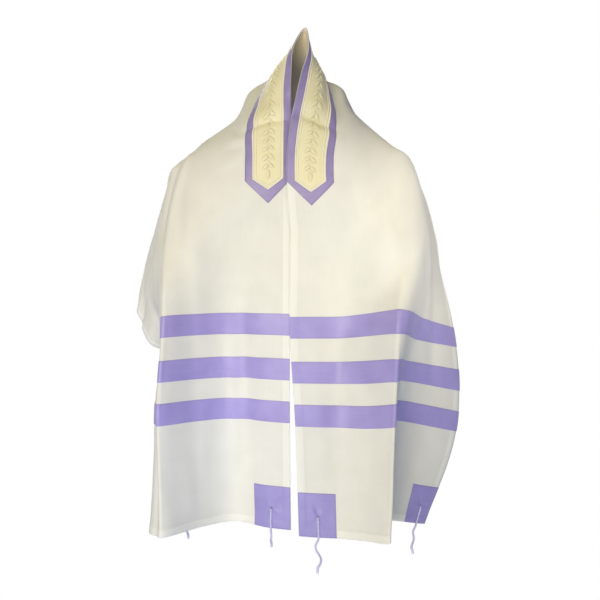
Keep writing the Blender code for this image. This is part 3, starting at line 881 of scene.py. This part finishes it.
def make_patch(name, side, outer, finish):
    """One corner patch, pulled into small puckers at its eyelet."""
    along = side * np.linspace(HALF_LENGTH - PATCH_HEIGHT, HALF_LENGTH - PATCH_GAP,
                               PATCH_GRID[0])
    first = CLOTH_WIDTH - PATCH_WIDTH if outer else PATCH_GAP
    across = np.linspace(first, first + PATCH_WIDTH - PATCH_GAP, PATCH_GRID[1])
    u, v = np.meshgrid(np.sort(along), across, indexing="ij")
    hole = eyelet_place(side, outer)
    apart = np.hypot(u - hole[0], v - hole[1])
    angle = np.arctan2(v - hole[1], u - hole[0])
    reach = np.exp(-(apart / RAY_REACH) ** 2) * soft_step(apart / RAY_FULL)
    rays = (np.sin(RAYS * angle + side + 2 * outer)
            + BROAD_SHARE * np.sin(BROAD_RAYS * angle + BROAD_TURN) + RAY_RAISE)
    edge = np.minimum(np.minimum(u - u.min(), u.max() - u),
                      np.minimum(v - v.min(), v.max() - v))
    raised = PATCH_CROWN * soft_step(edge / PATCH_CROWN_RUN)
    dent = DENT_HEIGHT * np.exp(-(apart / DENT_REACH) ** 2)
    high = RIBBON_TOP + raised + RAY_HEIGHT * reach * rays - dent
    return add_sheet(f"patch_{name}", u, v, RIBBON_LIFT, high, finish, "ribbon",
                     f"corner_patch_{name}")


# The neckband: a satin band, a cream panel, piping at its edge and a raised line in it

BAND_CORNER = BAND_HALF_LENGTH - BAND_MIDDLE
BAND_INSET = 0.0001
BAND_GRID = (211, 27)
PANEL_INSET = 0.0155
PANEL_HALF_WIDTH = BAND_MIDDLE - PANEL_INSET
PANEL_HALF_LENGTH = 0.345
PANEL_CORNER = 0.323
PANEL_LIFT = RIBBON_TOP + RIBBON_CROWN + 0.0001
PANEL_WALL = 0.0006
PANEL_TOP = PANEL_LIFT + PANEL_WALL
PANEL_BULGE = 0.0002
PANEL_GRID = (201, 31)
PIPING_FOOT = PANEL_LIFT + 0.0002

# How far the panel and what is on it sink into what they lie on
SUNK = 0.0002

# Raised lines round the panel: name, distance inside its tips, its corners and its long
# edges, half of the line's width, its height, and its foot above the cloth
PANEL_LINES = (
    ("neckband_piping", 0.0010, 0.0004, 0.0014, 0.0017, 0.0016, PIPING_FOOT),
    ("neckband_line", 0.0075, 0.0030, 0.0068, 0.0012, 0.0010, PANEL_TOP - SUNK),
)
LINE_STEP = 0.005


def pointed_grid(half_length, corner, half_width, counts):
    """Grid of places that fills a band whose two ends come to a point."""
    from_middle = np.linspace(-1, 1, counts[1]) * half_width
    ends = half_length - (half_length - corner) * np.abs(from_middle) / half_width
    u = np.linspace(-1, 1, counts[0])[:, None] * ends[None, :]
    return u, np.broadcast_to(BAND_MIDDLE + from_middle[None, :], u.shape)


def pointed_outline(half_length, corner, half_width, step):
    """Closed path of places round a band whose ends come to a point."""
    corners = [(-corner, -half_width), (corner, -half_width), (half_length, 0),
               (corner, half_width), (-corner, half_width), (-half_length, 0)]
    path = []
    for start, end in zip(corners, corners[1:] + corners[:1]):
        count = max(2, round(math.dist(start, end) / step))
        for index in range(count):
            part = index / count
            path.append((start[0] + (end[0] - start[0]) * part,
                         BAND_MIDDLE + start[1] + (end[1] - start[1]) * part))
    return np.array(path)


def make_band(finish):
    """The purple satin band on the front edge, over the centre back."""
    u, v = pointed_grid(BAND_HALF_LENGTH, BAND_CORNER, BAND_MIDDLE - BAND_INSET, BAND_GRID)
    share = np.clip(v / BAND_WIDTH, 0.001, 0.999)
    return add_sheet("neckband_satin", u, v, RIBBON_LIFT, RIBBON_TOP + crown(share),
                     finish, "ribbon", "neckband_ribbon")


def make_panel(finish):
    """The cream satin panel."""
    u, v = pointed_grid(PANEL_HALF_LENGTH, PANEL_CORNER, PANEL_HALF_WIDTH, PANEL_GRID)
    return add_sheet("neckband_cream", u, v, PANEL_LIFT - SUNK, PANEL_TOP, finish,
                     "panel", "neckband_panel", PANEL_BULGE)


def make_panel_line(name, tip, corner, inset, half_width, height, foot, finish):
    """Ivory piping round the cream panel, or the thinner raised line inside it."""
    path = pointed_outline(PANEL_HALF_LENGTH - tip, PANEL_CORNER - corner,
                           PANEL_HALF_WIDTH - inset, LINE_STEP)
    line = Batch()
    line.add_strip(path, half_width, height, foot, closed=True)
    return add_piece(name, *line.all(), finish, "panel")


# Embroidery: a laurel branch with pairs of leaves on each half of the cream panel. A
# leaf's tip is half of its width at both ends, and an edge is a height at the ends. A
# leaf's skew puts its widest place before its middle, and its two powers make it fuller.
# The first pair is a share of the spacing up the branch, and the sizes stray a little.
BRANCH_START = 0.040
BRANCH_END = 0.306
BRANCH_POINTS = 90
BRANCH_HALF_WIDTH = 0.0006
BRANCH_HEIGHT = 0.0009
BRANCH_SWAY = 0.0006
SWAY_RUN = 0.012
LEAF_SPACING = 0.0190
FIRST_LEAF = 0.3
LEAF_POINTS = 11
LEAF_LENGTH = 0.0175
LEAF_HALF_WIDTH = 0.0038
LEAF_TIP = 0.00025
LEAF_EDGE = 0.0004
LEAF_HEIGHT = 0.0014
LEAF_SKEW = 0.8
LEAF_WIDTH_POWER = 0.8
LEAF_HEIGHT_POWER = 0.5
LEAF_TILT = 0.62
LEAF_BEND = 0.28
LEAF_STAGGER = 0.0012
LEAF_ASIDE = 0.0004
END_LEAF = 1.1
SIZE_STRAY = 0.06
SIZE_TURN = 2.3
BERRY_RADIUS = 0.0013
BERRY_EDGE = 0.0003
BERRY_HEIGHT = 0.0009
BERRY_AHEAD = 0.0150
BERRY_ASIDE = 0.0028
BERRY_SHARES = np.linspace(-0.98, 0.98, 7)
ROUND_SIDES = 8
EMBROIDERY_LIFT = PANEL_TOP - SUNK


def add_leaf(batch, start, angle, length, half_width, bend):
    """One satin-stitched leaf with a pointed tip, raised along its middle."""
    part = np.linspace(0, 1, LEAF_POINTS)
    angles = (angle + bend * part)[1:]
    ways = np.stack([np.cos(angles), np.sin(angles)], axis=1)
    path = start + np.vstack([(0, 0), np.cumsum(ways, axis=0) * length / len(angles)])
    swell = np.sin(math.pi * part ** LEAF_SKEW)
    batch.add_strip(path, LEAF_TIP + half_width * swell ** LEAF_WIDTH_POWER,
                    LEAF_EDGE + LEAF_HEIGHT * swell ** LEAF_HEIGHT_POWER,
                    EMBROIDERY_LIFT, sides=ROUND_SIDES)


def add_dot(batch, middle, radius, shares, edge, height, base, sides):
    """One round form, from its places across as shares of its radius."""
    path = [(middle[0] + radius * share, middle[1]) for share in shares]
    swell = np.sqrt(1 - shares ** 2)
    batch.add_strip(path, radius * swell, edge + height * swell, base, sides=sides)


def make_embroidery(finish):
    """Laurel branches that grow from the centre back towards both pointed ends."""
    batch = Batch()
    for side in (-1, 1):
        path = [(side * distance, BAND_MIDDLE + BRANCH_SWAY * math.sin(distance / SWAY_RUN))
                for distance in np.linspace(BRANCH_START, BRANCH_END, BRANCH_POINTS)]
        batch.add_strip(path, BRANCH_HALF_WIDTH, BRANCH_HEIGHT, EMBROIDERY_LIFT)
        ahead = 0 if side > 0 else math.pi
        for number in range(int((BRANCH_END - BRANCH_START) / LEAF_SPACING)):
            distance = BRANCH_START + (number + FIRST_LEAF) * LEAF_SPACING
            size = 1 + SIZE_STRAY * math.sin(SIZE_TURN * number + side)
            for turn in (-1, 1):
                start = (side * (distance + LEAF_STAGGER * turn),
                         BAND_MIDDLE + LEAF_ASIDE * turn)
                add_leaf(batch, start, ahead + side * turn * LEAF_TILT,
                         LEAF_LENGTH * size, LEAF_HALF_WIDTH * size,
                         LEAF_BEND * side * turn)
                berry = (side * (distance + BERRY_AHEAD),
                         BAND_MIDDLE + BERRY_ASIDE * turn)
                add_dot(batch, berry, BERRY_RADIUS, BERRY_SHARES, BERRY_EDGE,
                        BERRY_HEIGHT, EMBROIDERY_LIFT, ROUND_SIDES)
        add_leaf(batch, (side * BRANCH_END, BAND_MIDDLE), ahead,
                 LEAF_LENGTH * END_LEAF, LEAF_HALF_WIDTH, 0)
    return add_piece("neckband_embroidery", *batch.all(), finish, "panel")


# Stitches, and how far inside an edge and the neckband's tips they run. The high ones
# are on the patches and the neckband. Hem stitches that trim covers are left out, and so
# are those closer to it than TRIM_CLEAR.
STITCH_PITCH = 0.0034
STITCH_LENGTH = 0.0024
STITCH_HALF_WIDTH = 0.00035
STITCH_HEIGHT = 0.0004
STITCH_LIFT = RIBBON_TOP + 0.0001
HIGH_STITCH_LIFT = STITCH_LIFT + 0.0001
TRIM_INSET = 0.0016
TIP_INSET = TRIM_INSET * 1.4
TRIM_CLEAR = 0.002
HEM_STITCH_INSET = HEM_WIDTH - 0.0022


def stitch_line(corners, closed=False):
    """Middles and directions of the stitches along straight runs of places."""
    corners = [np.array(corner, float) for corner in corners]
    ends = corners[1:] + corners[:1] if closed else corners[1:]
    middles = []
    ways = []
    for start, end in zip(corners, ends):
        length = np.linalg.norm(end - start)
        count = max(1, round(length / STITCH_PITCH))
        part = (np.arange(count) + 0.5) / count
        middles.append(start + (end - start) * part[:, None])
        ways.append(np.broadcast_to((end - start) / length, (count, 2)))
    return np.concatenate(middles), np.concatenate(ways)


def add_stitches(batch, middles, ways, lift):
    """Small closed lozenges of thread, one for each stitch."""
    aside = np.stack([-ways[:, 1], ways[:, 0]], axis=1) * STITCH_HALF_WIDTH
    ahead = ways * STITCH_LENGTH / 2
    count = len(middles)
    corners = np.full((count, 6, 3), float(lift))
    for corner, shift in enumerate((-ahead, ahead, -aside, aside, 0, 0)):
        corners[:, corner, :2] = middles + shift
    corners[:, :2, 2] -= STITCH_HEIGHT / 4
    corners[:, 4, 2] += STITCH_HEIGHT
    corners[:, 5, 2] -= STITCH_HEIGHT / 2
    lozenge = np.array([(0, 2, 4), (2, 1, 4), (1, 3, 4), (3, 0, 4),
                        (2, 0, 5), (1, 2, 5), (3, 1, 5), (0, 3, 5)])
    faces = lozenge[None, :, :] + 6 * np.arange(count)[:, None, None]
    batch.add(corners.reshape(-1, 3), faces.reshape(-1, 3).tolist())


def under_trim(u, v):
    """Whether a place on the cloth is under a ribbon, a patch or the neckband."""
    from_hem = HALF_LENGTH - np.abs(u)
    near_side = np.minimum(v, CLOTH_WIDTH - v)
    point = BAND_HALF_LENGTH - np.abs(v - BAND_MIDDLE)
    hidden = (v < BAND_WIDTH + TRIM_CLEAR) & (np.abs(u) < point + TRIM_CLEAR)
    hidden |= (from_hem < PATCH_HEIGHT + TRIM_CLEAR) & (
        near_side < PATCH_WIDTH + TRIM_CLEAR)
    for bottom in STRIPE_BOTTOMS:
        hidden |= (from_hem > bottom - TRIM_CLEAR) & (
            from_hem < bottom + STRIPE_WIDTH + TRIM_CLEAR)
    return hidden


def make_hem_stitches(finish):
    """One row of stitches along each of the cloth's four hems."""
    end = HALF_LENGTH - HEM_STITCH_INSET
    near, far = HEM_STITCH_INSET, CLOTH_WIDTH - HEM_STITCH_INSET
    middles, ways = stitch_line([(-end, near), (end, near), (end, far), (-end, far)],
                                closed=True)
    seen = ~under_trim(middles[:, 0], middles[:, 1])
    batch = Batch()
    add_stitches(batch, middles[seen], ways[seen], 0)
    return add_piece("stitches_hem", *batch.all(), finish, "thread")


def make_ribbon_stitches(finish):
    """Stitches along both edges of each ribbon."""
    batch = Batch()
    for side in (-1, 1):
        for bottom in STRIPE_BOTTOMS:
            for edge in (bottom + TRIM_INSET, bottom + STRIPE_WIDTH - TRIM_INSET):
                u = side * (HALF_LENGTH - edge)
                line = stitch_line([(u, TRIM_CLEAR), (u, CLOTH_WIDTH - TRIM_CLEAR)])
                add_stitches(batch, *line, STITCH_LIFT)
    return add_piece("stitches_ribbon", *batch.all(), finish, "thread")


def make_patch_stitches(finish):
    """Stitches round each corner patch."""
    batch = Batch()
    for _, side, outer in CORNERS:
        edge = CLOTH_WIDTH - PATCH_WIDTH if outer else 0
        near, far = edge + TRIM_INSET, edge + PATCH_WIDTH - TRIM_INSET
        top = side * (HALF_LENGTH - PATCH_HEIGHT + TRIM_INSET)
        low = side * (HALF_LENGTH - TRIM_INSET)
        line = stitch_line([(top, near), (low, near), (low, far), (top, far)], closed=True)
        add_stitches(batch, *line, HIGH_STITCH_LIFT)
    return add_piece("stitches_patch", *batch.all(), finish, "thread")


def make_band_stitches(finish):
    """Stitches round the neckband."""
    # The step is longer than every side, so each side is only halved
    outline = pointed_outline(BAND_HALF_LENGTH - TIP_INSET, BAND_CORNER,
                              BAND_MIDDLE - TRIM_INSET, step=CLOTH_LENGTH)
    batch = Batch()
    add_stitches(batch, *stitch_line(outline, closed=True), HIGH_STITCH_LIFT)
    return add_piece("stitches_neckband", *batch.all(), finish, "thread")


# Eyelets: the buttonholed ring, whose width ripples, and a dark disc of painted shade that
# stands for the hole in its middle
RING_RADIUS = 0.0026
RING_HALF_WIDTH = 0.0008
RING_RIPPLE = 0.0002
RING_RIPPLES = 20
RING_HEIGHT = 0.0009
HOLE_RADIUS = 0.0021
HOLE_HEIGHT = 0.0003
HOLE_SHARES = np.linspace(-0.97, 0.97, 9)
HOLE_SIDES = 6


def make_eyelets(finish, shade):
    """A buttonholed ring round each eyelet, with a dark disc of painted shade for the hole
    in its middle.
    """
    rings = Batch()
    hole_shades = Batch()
    angles = np.linspace(0, 2 * math.pi, 2 * RING_RIPPLES, endpoint=False)
    circle = np.stack([np.cos(angles), np.sin(angles)], axis=1) * RING_RADIUS
    width = RING_HALF_WIDTH + RING_RIPPLE * np.cos(RING_RIPPLES * angles)
    for _, side, outer in CORNERS:
        middle = eyelet_place(side, outer)
        rings.add_strip(middle + circle, width, RING_HEIGHT, STITCH_LIFT, closed=True)
        # A dark disc of painted shade where the hole is
        add_dot(hole_shades, middle, HOLE_RADIUS, HOLE_SHARES, HOLE_HEIGHT, 0,
                HIGH_STITCH_LIFT, HOLE_SIDES)
    return [add_piece("eyelet_rings", *rings.all(), finish, "thread"),
            add_piece("eyelet_hole_shade", *hole_shades.all(), shade, "thread")]


# Corner tassels: name, side of the cloth, whether at the outer edge, and the bends of
# the bundle below the hem as fall, sideways and front to back
TASSELS = (
    ("left_front", -1, False, (
        (0.006, 0.0002, 0.0), (0.014, 0.0008, -0.001), (0.024, 0.0002, -0.002),
        (0.031, 0.0012, -0.003), (0.038, 0.0016, -0.004))),
    ("left_back", -1, True, (
        (0.006, 0.0030, -0.0005), (0.014, 0.0090, -0.002), (0.022, 0.0122, -0.003),
        (0.028, 0.0130, -0.004), (0.031, 0.0132, -0.004))),
    ("right_front", 1, False, (
        (0.006, -0.0040, -0.001), (0.014, -0.0062, -0.002), (0.023, -0.0050, -0.003),
        (0.033, 0.0010, -0.004), (0.041, 0.0046, -0.005), (0.050, 0.0034, -0.006),
        (0.059, -0.0020, -0.006), (0.072, -0.0016, -0.006))),
    ("right_side", 1, True, (
        (0.007, -0.0030, -0.0005), (0.016, -0.0066, -0.001), (0.022, -0.0068, -0.002),
        (0.030, -0.0052, -0.003), (0.040, -0.0070, -0.003), (0.049, -0.0105, -0.004),
        (0.058, -0.0084, -0.004), (0.068, -0.0074, -0.004))),
)

# Tassels: the wound core, which runs from the eyelet over the hem and has knots at some
# shares of its length. The bundle below it has no bend closer to its end than CORE_CLEAR.
CORD_LIFT = RIBBON_TOP + 0.0026
CORE_RADIUS = 0.0017
CORE_BELOW_HEM = 0.006
CORE_CLEAR = 0.003
CORE_STEP = 0.0012
KNOTS = (0.04, 0.5, 0.96)
KNOT_REACH = 0.035
KNOT_HEIGHT = 0.0005
WINDING_PITCH = 0.00085
WINDING_RADIUS = WINDING_PITCH * 0.52
WINDING_LIFT = 0.0001

# Loops out of the eyelet: number, turn of the first, radius of the ring they end on, its
# size where they start and half-way, how far they rise there, and height of the eyelet
LOOPS = 4
LOOP_TURN = 0.4
LOOP_RADIUS = 0.0008
LOOP_START = 0.8
LOOP_BULGE = 1.3
LOOP_RISE = 0.35
HOLE_LIFT = 0.0009

# The bundle of two-ply strands: their number, unevenness and thinner tips, the stride
# that mixes their lengths, the twist, stray, spread and sway of the bundle, and the
# plies' shift from strand to strand, radius, pitch and fullness
THREAD_STEP = 0.0009
STRANDS = 8
STRAND_UNEVEN = 0.16
STRAND_STRIDE = 3
STRAND_POINTS = 6
BUNDLE_TWIST = 1.1
BUNDLE_STRAY = 0.3
STRAY_TURNS = 9
BUNDLE_RADIUS = 0.0014
BUNDLE_SPREAD = 0.0008
BUNDLE_SWAY = 0.0003
SWAY_TURNS = 7
SWAY_SHIFT = 2.1
TIP_THIN = 0.2
PLY_SHIFT = 0.9
PLY_RADIUS = 0.00043
PLY_PITCH = 0.0042
PLY_FULL = 1.12


def smooth_path(points, step):
    """Evenly spaced points on a smooth line through some points."""
    points = np.asarray(points, float)
    knots = run_lengths(points)
    count = max(3, round(knots[-1] / step) + 1)
    return smooth_curve(knots, points, np.linspace(0, knots[-1], count))


def cross_ways(path):
    """Two ways square to a hanging path at each of its points."""
    along = np.gradient(path, axis=0)
    along /= np.linalg.norm(along, axis=1, keepdims=True)
    aside = np.cross(along, np.array([0, 1.0, 0]))
    aside /= np.linalg.norm(aside, axis=1, keepdims=True)
    return aside, np.cross(along, aside)


def turned(ways, angle):
    """A way square to a path, turned round it by an angle."""
    return ways[0] * np.cos(angle) + ways[1] * np.sin(angle)


class Threads(Batch):
    """Closed tubes in the world, whose coordinates end with a place on the flat map."""

    def add_tube(self, path, radius, sides=5):
        """One tube with closed ends along a path."""
        aside, other = cross_ways(path)
        angles = np.arange(sides) * 2 * math.pi / sides
        ring = turned((aside[:, None, :], other[:, None, :]), angles[None, :, None])
        radius = np.broadcast_to(radius, len(path))
        points = path[:, None, :] + ring * radius[:, None, None]
        flat = np.stack(np.meshgrid(run_lengths(path), angles * PLY_RADIUS,
                                    indexing="ij"), axis=-1)
        self.add(np.concatenate([points, flat], axis=2).reshape(-1, 5),
                 tube_faces(len(path), sides))

    def add_twisted(self, path, start_angle, thin=1.0):
        """Two plies twisted round each other."""
        turn = run_lengths(path) / PLY_PITCH * 2 * math.pi + start_angle
        radius = PLY_RADIUS * thin
        for ply in (0, math.pi):
            offset = turned(cross_ways(path), (turn + ply)[:, None]) * radius
            self.add_tube(path + offset, np.ravel(radius) * PLY_FULL)

    def add_winding(self, path, radius):
        """One thread wound tightly round a path."""
        lengths = run_lengths(path)
        places = np.linspace(0, lengths[-1], round(lengths[-1] / WINDING_PITCH * 10))
        ways = smooth_curve(lengths, np.stack(cross_ways(path), axis=1), places)
        angle = places / WINDING_PITCH * 2 * math.pi
        wide = smooth_curve(lengths, radius, places)
        coil = turned(ways.transpose(1, 0, 2), angle[:, None]) * wide[:, None]
        self.add_tube(smooth_curve(lengths, path, places) + coil, WINDING_RADIUS)


def make_tassel(name, side, outer, bends, finish):
    """A tied tassel: threads out of the eyelet, knots and windings, and loose strands."""
    along, across = eyelet_place(side, outer)
    runs = np.linspace(along, side * HALF_LENGTH, 7)
    on_patch = place([(run, across, CORD_LIFT) for run in runs])
    hem = on_patch[-1]
    hole = place([(along, across, HOLE_LIFT)])[0]
    threads = Threads()
    core_end = hem + np.array([bends[0][1] / 2, bends[0][2], -CORE_BELOW_HEM])
    core = smooth_path(np.concatenate([on_patch[1:], [core_end]]), CORE_STEP)
    share = np.linspace(0, 1, len(core))
    knots = sum(np.exp(-((share - middle) / KNOT_REACH) ** 2) for middle in KNOTS)
    radius = CORE_RADIUS + KNOT_HEIGHT * knots
    threads.add_tube(core, radius - WINDING_LIFT, sides=ROUND_SIDES)
    threads.add_winding(core, radius)
    start_ways = [ways[0] for ways in cross_ways(core)]
    for index in range(LOOPS):
        angle = index * 2 * math.pi / LOOPS + LOOP_TURN
        ring = turned(start_ways, angle) * LOOP_RADIUS
        rise = (on_patch[0] - hole) * LOOP_RISE
        top = (hole + core[0]) / 2 + ring * LOOP_BULGE + rise
        loop = [hole + ring * LOOP_START, top, core[0] + ring]
        threads.add_twisted(smooth_path(loop, THREAD_STEP), angle)
    below = [hem + np.array([sideways, depth, -fall]) for fall, sideways, depth in bends
             if fall > CORE_BELOW_HEM + CORE_CLEAR]
    bundle = smooth_path([core[-1], *below], THREAD_STEP)
    aside, other = cross_ways(bundle)
    for index in range(STRANDS):
        length = 1 - STRAND_UNEVEN * (index * STRAND_STRIDE % STRANDS) / (STRANDS - 1)
        count = max(STRAND_POINTS, round(len(bundle) * length))
        part = np.linspace(0, length, count)
        angle = (index * 2 * math.pi / STRANDS + BUNDLE_TWIST * part
                 + BUNDLE_STRAY * np.sin(STRAY_TURNS * part + index))
        reach = (BUNDLE_RADIUS + BUNDLE_SPREAD * part
                 + BUNDLE_SWAY * np.sin(SWAY_TURNS * part + SWAY_SHIFT * index))
        offset = turned((aside[:count], other[:count]), angle[:, None]) * reach[:, None]
        thin = 1 - TIP_THIN * (part / length) ** 4
        threads.add_twisted(bundle[:count] + offset, index * PLY_SHIFT, thin[:, None])
    table, faces = threads.all()
    return add_mesh(f"tzitzit_{name}", table[:, :3], table[:, 3:], faces, finish,
                    [f"tassel_{name}"])


# Floor, light and camera

FLOOR_HEIGHT = -1.40
FLOOR_RADIUS = 0.95
FLOOR_COLOUR = (0.90, 0.91, 0.93)
FLOOR_GLOW = (0.60, 0.78, 1.0)
FLOOR_GLOW_STRENGTH = 0.20
FLOOR_TOP_COLOUR = (0.80, 0.80, 0.80)
FLOOR_TOP_GAP = 0.002
BACKDROP_RADIUS = 9.0

# Soft light from the left, and what takes its place on the right, in front, below, above
# and behind: axis, where along the axis it starts and is full, and its colour
LEFT_LIGHT = (0.23, 0.26, 0.35)
FURTHER_LIGHT = (
    ("X", -0.30, 0.30, (0.19, 0.25, 0.54)),
    ("Y", -0.40, -0.85, (0.40, 0.40, 0.42)),
    ("Z", -0.20, -0.60, (0.40, 0.50, 0.72)),
    ("Z", 0.08, 0.60, (0.19, 0.15, 0.06)),
    ("Y", 0.40, 0.87, (0.35, 0.35, 0.34)),
)

# Distant lights: name, strength, colour, lean from straight above, and turn
KEY_LIGHT = ("key", 2.36, (1.0, 0.95, 0.80), 82, -16)
BACK_FILL = ("back_fill", 1.5, (1.0, 0.98, 0.95), 78, 200)
SUN_SPREAD = 38

# Soft-edged lights: name, power, colour, angle of the cone, share of the cone that
# fades, place and target
SPOT_LIGHTS = (
    ("chest_light", 21.0, (1.0, 0.84, 0.55), 23.0, 1.0, (-0.35, -1.75, 0.25),
     (-0.18, -0.12, -0.24)),
    ("shoulder_light", 185.0, (1.0, 0.92, 0.70), 11.5, 0.7, (1.35, -0.90, 0.30),
     (0.25, -0.02, -0.238)),
    ("low_light", 62.0, (0.52, 0.65, 1.0), 16.0, 1.0, (0.10, -1.80, -0.80),
     (-0.20, -0.13, -0.66)),
)
SPOT_SIZE = 0.25

# The camera: place, how far it looks down in degrees, lens and film width in millimetres
CAMERA_PLACE = (0.006, -1.83, -0.30)
CAMERA_DROP = 1.35
LENS = 51
FILM_WIDTH = 36


def stage_material(name, colour, roughness, shine, glow, strength):
    """An even material for the stage."""
    made = bpy.data.materials.new(name)
    made.use_nodes = True
    shader = made.node_tree.nodes["Principled BSDF"]
    shader.inputs["Base Color"].default_value = (*colour, 1)
    shader.inputs["Roughness"].default_value = roughness
    shader.inputs["Specular IOR Level"].default_value = shine
    shader.inputs["Emission Color"].default_value = (*glow, 1)
    shader.inputs["Emission Strength"].default_value = strength
    return made


def make_surroundings():
    """Soft studio light: pale behind and in front, dimmer at the sides and above."""
    world = bpy.data.worlds.new("studio")
    world.use_nodes = True
    tree = world.node_tree
    way = node(tree, "ShaderNodeTexCoord").outputs["Generated"]
    parts = node(tree, "ShaderNodeSeparateXYZ", {"Vector": way}).outputs
    colour = LEFT_LIGHT
    for axis, start, full, light in FURTHER_LIGHT:
        colour = mixed(tree, soft_range(tree, parts[axis], start, full), colour, light)
    tree.links.new(colour, tree.nodes["Background"].inputs["Color"])
    bpy.context.scene.world = world


def add_light(name, kind, strength, colour):
    """A light, which is still to be placed."""
    lamp = bpy.data.lights.new(name, kind)
    lamp.energy = strength
    lamp.color = colour
    return add_object(name, lamp)


def add_sun(name, strength, colour, lean, turn):
    """A soft distant light, leant over from straight above and turned round."""
    made = add_light(name, "SUN", strength, colour)
    made.data.angle = math.radians(SUN_SPREAD)
    made.rotation_euler = (math.radians(lean), 0, math.radians(turn))


def add_spot(name, power, colour, cone, fade, location, target):
    """A soft-edged light from one place towards another."""
    made = add_light(name, "SPOT", power, colour)
    made.data.spot_size = math.radians(cone)
    made.data.spot_blend = fade
    made.data.shadow_soft_size = SPOT_SIZE
    made.location = location
    way = Vector(target) - Vector(location)
    made.rotation_euler = way.to_track_quat("-Z", "Y").to_euler()


def add_unlit(name, mesh, colour):
    """A part of the stage in an even colour, which is only looked at and lights nothing."""
    mesh.materials.append(stage_material(name, (0, 0, 0), roughness=0.5, shine=0,
                                         glow=colour, strength=1))
    made = add_object(name, mesh)
    made.visible_diffuse = False
    made.visible_glossy = False
    made.visible_transmission = False
    made.visible_volume_scatter = False
    made.visible_shadow = False


def make_backdrop():
    """A plain white dome far around."""
    mesh = bpy.data.meshes.new("backdrop")
    form = bmesh.new()
    bmesh.ops.create_icosphere(form, subdivisions=4, radius=BACKDROP_RADIUS)
    form.to_mesh(mesh)
    form.free()
    add_unlit("backdrop", mesh, (1, 1, 1))


def disc(name, height):
    """Mesh of a flat round disc below the shawl."""
    corners = [(FLOOR_RADIUS * math.cos(turn), FLOOR_RADIUS * math.sin(turn), height)
               for turn in np.linspace(0, 2 * math.pi, 96, endpoint=False)]
    mesh = bpy.data.meshes.new(name)
    mesh.from_pydata(corners, [], [list(range(len(corners)))])
    return mesh


def make_stage():
    """Round pale floor well below the shawl, a backdrop, and all the lights."""
    mesh = disc("floor", FLOOR_HEIGHT)
    mesh.materials.append(stage_material(
        "floor_white", FLOOR_COLOUR, roughness=0.9, shine=0.5, glow=FLOOR_GLOW,
        strength=FLOOR_GLOW_STRENGTH))
    add_object("floor", mesh)
    add_unlit("floor_top", disc("floor_top", FLOOR_HEIGHT + FLOOR_TOP_GAP),
              FLOOR_TOP_COLOUR)
    make_backdrop()
    make_surroundings()
    add_sun(*KEY_LIGHT)
    for light in SPOT_LIGHTS:
        add_spot(*light)
    add_sun(*BACK_FILL)


def make_camera():
    """A camera where the photograph's was: level with the chest, and straight on."""
    lens = bpy.data.cameras.new("photo_view")
    lens.lens = LENS
    lens.sensor_width = FILM_WIDTH
    camera = add_object("photo_view", lens)
    camera.location = CAMERA_PLACE
    camera.rotation_euler = (math.radians(90 - CAMERA_DROP), 0, 0)
    bpy.context.scene.camera = camera
    bpy.context.scene.view_settings.view_transform = "Standard"


def main():
    finishes = make_materials()
    cloth = make_cloth(finishes["white_twill"], finishes["twill_reverse"])
    sewn = make_ribbons(finishes["purple_satin"])
    sewn += [make_patch(*corner, finishes["patch_satin"]) for corner in CORNERS]
    sewn += [make_band(finishes["neckband_satin"]), make_panel(finishes["cream_satin"])]
    sewn += [make_panel_line(*line, finishes["ivory_piping"]) for line in PANEL_LINES]
    sewn.append(make_embroidery(finishes["cream_floss"]))
    sewn.append(make_hem_stitches(finishes["white_thread"]))
    sewn += [make(finishes["purple_thread"]) for make in (
        make_ribbon_stitches, make_patch_stitches, make_band_stitches)]
    sewn += make_eyelets(finishes["purple_thread"], finishes["eyelet_shade"])
    sewn += [make_tassel(*tassel, finishes["tassel_wool"]) for tassel in TASSELS]
    make_stage()
    make_camera()


main()
